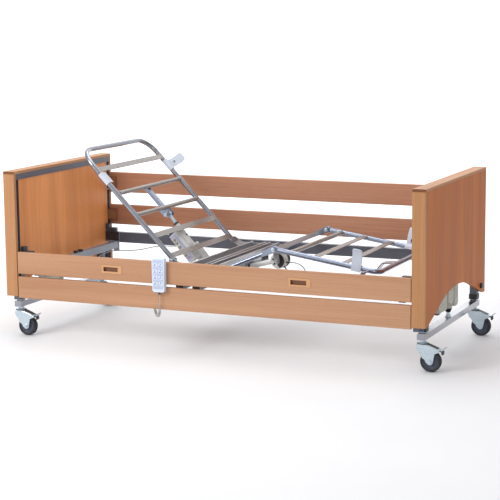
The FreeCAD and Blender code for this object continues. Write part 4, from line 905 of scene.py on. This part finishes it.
def motor_lead(node, route, body, last_relief):
    """Smooth lead between two held ends, in place of its plain solid."""
    curve = route_curve(node + "_line", [bed(*place) for place in route], 12)
    curve.bevel_depth, curve.bevel_resolution, curve.use_fill_caps = 2.5 * MM, 4, True
    curve.materials.append(materials["grey_lead"])
    lead = linked(node + "_line", curve)
    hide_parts(node)
    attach(lead, body)
    pieces = [relief(node + "_relief", route[0], route[1], body)]
    if last_relief:
        pieces.append(relief(node + "_end_relief", route[-1], route[-2], body))
    line = smooth_line([bed(*p) for p in route])


def motor_leads():
    """Leads of the head lifting motor and the thigh motor, and the clip on the side tube."""
    motor_lead("head_lift_lead", HEAD_LEAD, "bed", False)
    motor_lead("thigh_motor_lead", THIGH_LEAD, "thigh_motor", True)
    bm = bmesh.new()
    beam(bm, [(424.6, 364.4), (424.6, 359), (427, 356.6), (435, 356.6), (437, 359), (437, 361), (441.4, 361),
              (441.4, 364.4)], -599, -571)
    make("head_lead_clip", bm, BED, "black", "bed", 0.5)


# ---------------------------------------------------------------- retainers
def bend(profile, steps=26):
    """Smooth line through (outward, upward) points, with a normal at each place."""
    points = [Vector((u, n, 0)) for u, n in profile]
    ends = [points[0] * 2 - points[1]] + points + [points[-1] * 2 - points[-2]]
    line = []
    for i in range(len(points) - 1):
        a, b, c, d = ends[i:i + 4]
        for k in range(steps // (len(points) - 1) + 1):
            t = k / (steps // (len(points) - 1) + 1)
            line.append(0.5 * ((2 * b) + (c - a) * t + (2 * a - 5 * b + 4 * c - d) * t ** 2
                               + (3 * b - a - 3 * c + d) * t ** 3))
    line.append(points[-1])
    return line


def bent_plate(bm, profile, half, corner, side, flip=1):
    """Curved strip along x, half wide each way, with round corners at its free end."""
    line = bend(profile)
    run = [0.0]
    for a, b in zip(line, line[1:]):
        run.append(run[-1] + (b - a).length)
    rows = []
    for i, p in enumerate(line):
        ahead = (line[min(i + 1, len(line) - 1)] - line[max(i - 1, 0)]).normalized()
        left = run[-1] - run[i]
        inset = corner - min(left, corner)
        reach = half - corner + math.sqrt(max(0, corner ** 2 - inset ** 2))
        wall = Vector((-ahead.y, ahead.x, 0)) * -STRIP_WALL
        rows.append([[(x * reach, side * flip * q.x, q.y) for x in [-1 + k / 4 for k in range(9)]]
                     for q in (p, p + wall)])
    made = [[ring_of(bm, top), ring_of(bm, low)] for top, low in rows]
    skin(bm, [top + low[::-1] for top, low in made])


def tube_clip(bm, half):
    """Saddle clip round the upper half of a side tube."""
    inner = [(13.0 * math.cos(a), 13.0 * math.sin(a)) for a in
             (math.radians(-26 + 232 * k / 24) for k in range(25))]
    outer = [(17.0 * math.cos(a), 17.0 * math.sin(a)) for a in
             (math.radians(206 - 232 * k / 24) for k in range(25))]
    beam(bm, inner + outer, -half, half)


def back_place(s, y):
    """Frame on the backrest: x down its length from s, z square to it, y kept."""
    hinge, angle = Vector((-232, 0, 430)), math.radians(45.6)
    run, up = Vector((-math.cos(angle), 0, math.sin(angle))), Vector((math.sin(angle), 0, math.cos(angle)))
    turn = Matrix((run, ACROSS, up)).transposed().to_4x4()
    return BED @ Matrix.Translation(hinge + run * s + Vector((0, y, 0))) @ turn


def leg_place(s, y):
    """Frame on the leg section: x down its length from s, z square to it."""
    return along(KNEE, LEG_END - KNEE) @ Matrix.Translation((s, y, 0))


def retainers():
    """Mattress retainers: two on the backrest, one folded in, and two on the leg section."""
    tube_y = 350
    for tag, y, profile, half, flip in (("near", -tube_y, FOLDED_STRIP, 32, -1),
                                        ("far", tube_y, RAISED_STRIP, 25, 1)):
        side = 1 if y > 0 else -1
        here = back_place(545, y)
        bm = bmesh.new()
        tube_clip(bm, 34)
        bent_plate(bm, profile, half, 12, side, flip)
        replaced = ("backrest_retainers",) if tag == "near" else ()
        make("back_retainer_" + tag, bm, here, "clear_grey", "backrest", 0.8, 2, replaces=replaced)
        if tag == "far":
            bm = bmesh.new()
            socket_head(bm, (0, 38, 26.0), (0, -0.5, 0.86), 4.2, 3.2)
            make("back_retainer_screw", bm, here, "black", "backrest")
    for tag, y, s in (("near", -tube_y, 429), ("far", tube_y, 457)):
        side = 1 if y > 0 else -1
        here = leg_place(s, y)
        bm = bmesh.new()
        tube_clip(bm, 22)
        bent_plate(bm, LEG_STRIP, 25, 13, side)
        replaced = ("leg_retainers",) if tag == "near" else ()
        make("leg_retainer_" + tag, bm, here, "pale", "leg", 0.8, 2, replaces=replaced)
        # painted shade: a black block on the plate stands for the dark opening of the retainer's slot
        bm = bmesh.new()
        slab(bm, rounded_outline(-3.2, 3.2, 24, 40, 3, 5), side * 17.9, side * 12.5)
        make("leg_retainer_slot_shade_" + tag, bm, here, "black", "leg")
    here = back_place(545, -tube_y)
    bm = bmesh.new()
    wire = [Vector((x, -13.8 - z * 0.05, z)) for x, z in
            [(-52, -2), (-52, -8)] + arc(-46, -12, 6, 180, 270, 6) + arc(40, -12, 6, 270, 360, 6) + [(46, -2)]]
    tube(bm, wire, 1.3, 8)
    make("back_retainer_wire", bm, here, "silver", "backrest")


# ---------------------------------------------------------------- actuators
def lift_motor_parts(tag, end):
    """Cases, boot, screws, seams and glands of a lifting actuator and its switch box."""
    at = BED @ Matrix.Scale(end, 4, ALONG)
    face, inside, axis_y = 1102.6, 1046.4, -27
    bm = bmesh.new()
    beam(bm, rounded_outline(25, 85, 220.5, 333, 21, 8), inside, face)
    make("lift_motor_can_" + tag, bm, at, "beige", "bed", 5.0, 4, replaces=(tag + "_lift_motor",), angle=50)
    bm = bmesh.new()
    beam(bm, rounded_outline(-67, 20, 241, 337.6, 12, 6), inside, face - 3)
    block(bm, inside + 5, face - 6, 14, 30, 256, 322)
    lathe(bm, (BOARD_X, axis_y, 0), UP, [(9, 222), (17, 222), (17.5, 225), (21, 242), (9, 242)], 36,
          closed=True)
    make("lift_gear_case_" + tag, bm, at, "beige", "bed", 3.0, 3, angle=50)
    bm = bmesh.new()
    beam(bm, rounded_outline(-225, -93, 229, 336.5, 14, 6), inside + 4.5, face - 1)
    make("lift_switch_box_" + tag, bm, at, "beige", "bed", 3.5, 3, angle=50)
    bm = bmesh.new()
    boot = []
    for k in range(5):
        z = 222 - 3.6 * k
        boot += [(15.0 - k, z), (18.4 - 1.4 * k, z - 1.3), (18.4 - 1.4 * k, z - 2.0), (15.0 - k, z - 3.2)]
    lathe(bm, (BOARD_X, axis_y, 0), UP, [(8.8, 222.4)] + boot + [(8.8, 203)], 32, closed=True)
    make("lift_boot_" + tag, bm, at, "black", "bed", 0.3)
    bm = bmesh.new()
    screws(bm, [(face - 3.4, y, z) for y in (-57, 10) for z in (251, 327)], ALONG, 3.6, 2.4)
    screws(bm, [(face - 0.4, y, z) for y in (36, 74) for z in (238, 322)], ALONG, 3.4, 0.9)
    screws(bm, [(face - 1.4, y, z) for y in (-214, -104) for z in (240, 325)], ALONG, 3.2, 1.8)
    make("lift_screws_" + tag, bm, at, "silver", "bed")
    bm = bmesh.new()
    for z in (262, 306):
        beam(bm, turned_outline(25, 85, z, 2.0, 0.5), inside - 0.3, face + 0.4)
    for k in range(5):
        block(bm, face - 0.5, face + 0.4, 36, 74, 269 + 7 * k, 271.5 + 7 * k)
    for z in (268, 312):
        block(bm, face - 3.5, face - 2.2, -60, 6, z, z + 2)
    block(bm, face - 1.4, face - 0.5, -210, -108, 262, 263.6)
    make("lift_seams_" + tag, bm, at, "warm_grey", "bed", 0.2)
    bm = bmesh.new()
    column(bm, rounded_outline(1056, 1094, -215, -176, 5, 4), 222, 230)
    for y in (-150, -126):
        lathe(bm, (1076, y, 229.5), (0, 0, -1), [(8.5, 0), (8.5, 4), (7, 5), (7, 9), (5, 11)], 24)
    make("lift_glands_" + tag, bm, at, "dark_grey", "bed", 0.6)


def turned_outline(y0, y1, z, height, proud):
    """Band outline in (y, z) a little proud of a motor can."""
    return rounded_outline(y0 - proud, y1 + proud, z, z + height, 0.9, 3)


def backrest_motor_parts():
    """Cap, ribs, side panel and plugs of the control box; seals and screws of the actuator."""
    here = along(MOTOR_PIVOT, MOTOR_RUN)
    bm = bmesh.new()
    beam(bm, rounded_outline(-93, -21, -32, 8, 6, 4), 235.2, 246)
    beam(bm, rounded_outline(-91, -23, -30, 6, 6, 4), 245, 249.5)
    for k in range(5):
        block(bm, 249, 251, -86, -28, -25 + 7 * k, -22.5 + 7 * k)
    make("control_box_cap", bm, here, "dark_grey", "backrest_motor", 0.7)
    bm = bmesh.new()
    for k in range(9):
        block(bm, 74 + 7 * k, 76.5 + 7 * k, -88, -26, 9.6, 11.6)
    for y in (-94, -26):
        block(bm, 72, 134, y, y + 2, 9.6, 11.2)
    make("control_box_ribs", bm, here, "white", "backrest_motor", 0.4)
    bm = bmesh.new()
    slab(bm, rounded_outline(72, 230, -31, 6, 5, 5), -97.4, -95.4)
    make("control_box_panel", bm, here, "lavender", "backrest_motor", 0.5)
    bm = bmesh.new()
    for x in (106, 132, 158, 184, 204):
        lathe(bm, (x, -103.6, -16), (0, -1, 0), [(8.6, 0), (8.6, 2.4), (6.6, 3), (6.6, 6.8), (5.2, 7.4)], 24)
    make("control_box_plugs", bm, here, "warm_grey", "backrest_motor", 0.4)
    bm = bmesh.new()
    screws(bm, [(x, y, 12.6) for x in (148, 228) for y in (-52, -26)], UP, 3.4, 1.8)
    screws(bm, [(x, y, 9.6) for x in (14, 54) for y in (-14, 20)], UP, 3.0, 1.8)
    make("control_box_screws", bm, here, "silver", "backrest_motor")
    bm = bmesh.new()
    length = MOTOR_LENGTH - 62
    lathe(bm, ORIGIN, ALONG, [(10, length - 9), (14.2, length - 9), (14.8, length - 7),
                                     (14.8, length + 1), (13, length + 3), (10, length + 3)], 40, closed=True)
    lathe(bm, ORIGIN, ALONG, [(12.6, 200), (14.2, 200), (14.2, 206), (12.6, 206)], 40, closed=True)
    make("backrest_motor_rings", bm, here, "dark_grey", "backrest_motor", 0.4)
    bm = bmesh.new()
    for x in (34, 138):
        beam(bm, rounded_outline(24.4, 79.6, -48.6, 4.6, 15, 6), x, x + 2.4)
    make("backrest_motor_bands", bm, here, "warm_grey", "backrest_motor", 0.3)


def thigh_motor_parts():
    """End discs, slots, dark ring and centre bolt of the round gear case."""
    here = along(THIGH_PIVOT, THIGH_RUN)
    bm = bmesh.new()
    for side in (-1, 1):
        lathe(bm, (0, side * 38.6, 0), (0, side, 0), [(37, 0), (37, 1.2), (34.5, 2.2), (31, 2.2), (30, 1.2),
                                                      (12, 1.2), (11, 2.0)], 60)
    make("thigh_motor_discs", bm, here, "two_tone", "thigh_motor", 0.3)
    bm = bmesh.new()
    for k in range(6):
        a = 2 * math.pi * (k + 0.5) / 6
        start = len(bm.verts)
        slab(bm, rounded_outline(16, 29, -4.2, 4.2, 2.4, 4), -40.5, -39.0)
        turn_new(bm, start, Matrix.Rotation(a, 4, "Y"))
    make("thigh_motor_slots", bm, here, "black", "thigh_motor")
    bm = bmesh.new()
    lathe(bm, ORIGIN, ACROSS, [(40, 4), (42.2, 4.4), (42.2, 30.6), (40, 31)], 72, closed=True)
    for k in range(36):
        a = 2 * math.pi * k / 36
        start = len(bm.verts)
        block(bm, 41.6, 43.2, 6.6, 28.4, -1.2, 1.2)
        turn_new(bm, start, Matrix.Rotation(a, 4, "Y"))
    make("thigh_motor_ring", bm, here, "black", "thigh_motor", 0.2)
    bm = bmesh.new()
    length = THIGH_RUN.length - 66
    lathe(bm, ORIGIN, ALONG, [(9, length - 8), (14.4, length - 8), (14.8, length + 1), (9, length + 2)], 36,
          closed=True)
    make("thigh_motor_seal", bm, here, "dark_grey", "thigh_motor", 0.3)
    bm = bmesh.new()
    for side in (-1, 1):
        hex_head(bm, (THIGH_PIVOT.x, side * 51, THIGH_PIVOT.z), (0, side, 0), 8.5, 5.5)
    make("thigh_pivot_bolts", bm, BED, "zinc", "thigh", 0.3)


# ---------------------------------------------------------------- small hardware
def hardware():
    """Bolts, rivets, bulged bar ends, end plugs and clips on the frames."""
    bm = bmesh.new()
    for side in (-1, 1):
        for way in (-1, 1):
            hex_head(bm, (KNEE.x, side * 350 + way * 20, KNEE.z), (0, way, 0), 8.2, 6)
    make("knee_bolts", bm, BED, "zinc", "thigh", 0.4)
    bm = bmesh.new()
    for x, z in ((-232, 430), (75, 413)):
        for side in (-1, 1):
            hex_head(bm, (x, side * 378.9, z), (0, side, 0), 9.5, 6)
    make("hinge_bolts", bm, BED, "zinc", "bed", 0.4)

    flat, leg = back_place(0, 0), leg_place(0, 0)
    for tag, here, body, places in (("back", flat, "backrest", (24, 157, 603)),
                                    ("leg", leg, "leg", (214, 359))):
        bm = bmesh.new()
        for s, side, way in ((s, side, way) for s in places for side in (-1, 1) for way in (-6, 6)):
            lathe(bm, (s + way, side * 331, 10), UP, [(4, 0), (3.4, 1.3), (1.8, 1.9)], 14)
        make(tag + "_slat_rivets", bm, here, "silver", body)
    back_end = [(11.1, -26), (12.4, -19), (13.6, -11), (13.8, -2), (12.6, 2)]
    leg_end = [(11.1, -24), (12.6, -16), (13.4, -6), (12.4, 0)]
    for tag, here, body, places, profile in (("back", flat, "backrest", (300, 446), back_end),
                                             ("leg", leg, "leg", (84,), leg_end)):
        bm = bmesh.new()
        for s, side in ((s, side) for s in places for side in (-1, 1)):
            lathe(bm, (s, side * 337, 0), (0, side, 0), profile, 28)
        make(tag + "_bar_ends", bm, here, "slat", body)
    bm = bmesh.new()
    screws(bm, [(s, 0, -12.4) for s in (330, 370, 425)], UP, 4.4, 3.0)
    for side in (-1, 1):
        hex_head(bm, (268, side * 35.9, -22), (0, side, 0), 7.5, 5)
    make("spine_bolts", bm, flat, "zinc", "backrest", 0.3)

    bm = bmesh.new()
    for end in (-1, 1):
        for side in (-1, 1):
            places = ((1018, 372), (1018, 408), (985, 392))
            screws(bm, [(end * x, side * 455.4, z) for x, z in places], (0, side, 0), 5, 3)
    for side in (-1, 1):
        for x in (-248, -192):
            hex_head(bm, (x, side * 459, 392), (0, side, 0), 7, 5)
    make("side_tube_bolts", bm, BED, "zinc", "bed", 0.3)
    bm = bmesh.new()
    for side in (-1, 1):
        lathe(bm, (-242, side * 440, 349), (0, 0, -1), [(10, 0), (13, 1), (15.6, 3), (15.6, 12), (13, 14)], 12)
    make("coupling_knobs", bm, BED, "black", "bed", 0.8)
    bm = bmesh.new()
    block(bm, BOARD_X - 9, BOARD_X + 11, -447.4, -443.6, 190, 204)
    make("column_clip", bm, BED, "blue", "bed", 0.6)


def wall_buffers():
    """Ringed faces of the two wall buffers."""
    for tag, end, side in (("foot", 1, 1), ("head", -1, -1)):
        bm = bmesh.new()
        lathe(bm, (end * 1130.3, side * 420, 258), (end, 0, 0), [(9, 0), (12.4, 0), (12.4, 1.0), (11.4, 1.6),
                                                                 (9.6, 1.6), (9, 1.0)], 40, closed=True)
        make("wall_buffer_ring_" + tag, bm, BED, "warm_grey", "bed", 0.2)


# ---------------------------------------------------------------- stage
SKY = (0.25, 0.85)
BACKDROP_GLOW = 0.62
LAMPS = (("key", (-2200, -3800, 2500), 1.8, 92.0), ("side", (3400, -4200, 2600), 1.4, 20.0),
         ("top", (-300, 500, 4400), 3.5, 85.0))


def make_stage():
    """Pale floor that curves up into a bright backdrop, soft surroundings and large lamps."""
    bm = bmesh.new()
    start, radius, top = 3.2, 1.6, 9.0
    rows = [(-9.0, 0.0), (0.0, 0.0), (start, 0.0)]
    rows += [(start + radius * math.sin(a), radius - radius * math.cos(a))
             for a in (math.pi / 2 * k / 24 for k in range(1, 25))]
    rows += [(start + radius, top)]
    lines = [ring_of(bm, [(x, y, z) for x in (-14.0, 14.0)]) for y, z in rows]
    for first, second in zip(lines, lines[1:]):
        join(bm, first, second, closed=False)
    g = Graph("floor_paint", Roughness=0.7, Specular_IOR_Level=0.2)
    tone = g.ramp(g.noise(size=1.5, detail=2.0), (0.3, (0.80, 0.795, 0.805)), (0.7, (0.82, 0.815, 0.825)))
    glow = g.math("MULTIPLY", g.range(g.axis("Y"), 0.4, start + radius, 0.0, BACKDROP_GLOW),
                  g.range(g.axis("X"), 0.2, 2.0, 1.0, 0.0))
    g.out(Base_Color=tone, Emission_Color=(1, 1, 1, 1), Emission_Strength=glow)
    open_back = g.node("ShaderNodeMixShader", Fac=g.node("ShaderNodeNewGeometry").outputs["Backfacing"])
    g.feed(open_back.inputs[1], g.shader.outputs[0])
    g.feed(open_back.inputs[2], g.node("ShaderNodeBsdfTransparent").outputs[0])
    ending = next(n for n in g.tree.nodes if n.type == "OUTPUT_MATERIAL")
    g.feed(ending.inputs["Surface"], open_back.outputs[0])
    floor = smooth_object("studio_floor", bm, g.material)

    world = bpy.data.worlds.new("studio")
    world.use_nodes = True
    background = world.node_tree.nodes["Background"]
    background.inputs["Color"].default_value = (0.97, 0.985, 1.0, 1)
    tree = world.node_tree
    towards = tree.nodes.new("ShaderNodeVectorMath")
    towards.operation = "DOT_PRODUCT"
    towards.inputs[1].default_value = Vector((-0.55, -0.62, 0.56)).normalized()
    tree.links.new(tree.nodes.new("ShaderNodeTexCoord").outputs["Generated"], towards.inputs[0])
    level = tree.nodes.new("ShaderNodeMapRange")
    for key, number in zip(("From Min", "From Max", "To Min", "To Max"), (-0.7, 0.9, *SKY)):
        level.inputs[key].default_value = number
    tree.links.new(towards.outputs["Value"], level.inputs["Value"])
    tree.links.new(level.outputs[0], background.inputs["Strength"])
    bpy.context.scene.world = world
    for name, place, size, power in LAMPS:
        data = bpy.data.lights.new(name, "AREA")
        data.size, data.energy = size, power
        lamp = linked(name, data)
        lamp.location = bed(*place)
        lamp.rotation_euler = (bed(0, 0, 450) - lamp.location).to_track_quat("-Z", "Y").to_euler()
    bpy.context.scene.view_settings.view_transform = "Standard"


make_camera()
materials = make_materials()
dress_nodes(materials)
handset_lead()
motor_leads()
handset()
for corner in ("head_near", "head_far", "foot_near", "foot_far"):
    castor(corner)
retainers()
lift_motor_parts("foot", 1)
lift_motor_parts("head", -1)
backrest_motor_parts()
thigh_motor_parts()
hardware()
wall_buffers()
make_stage()
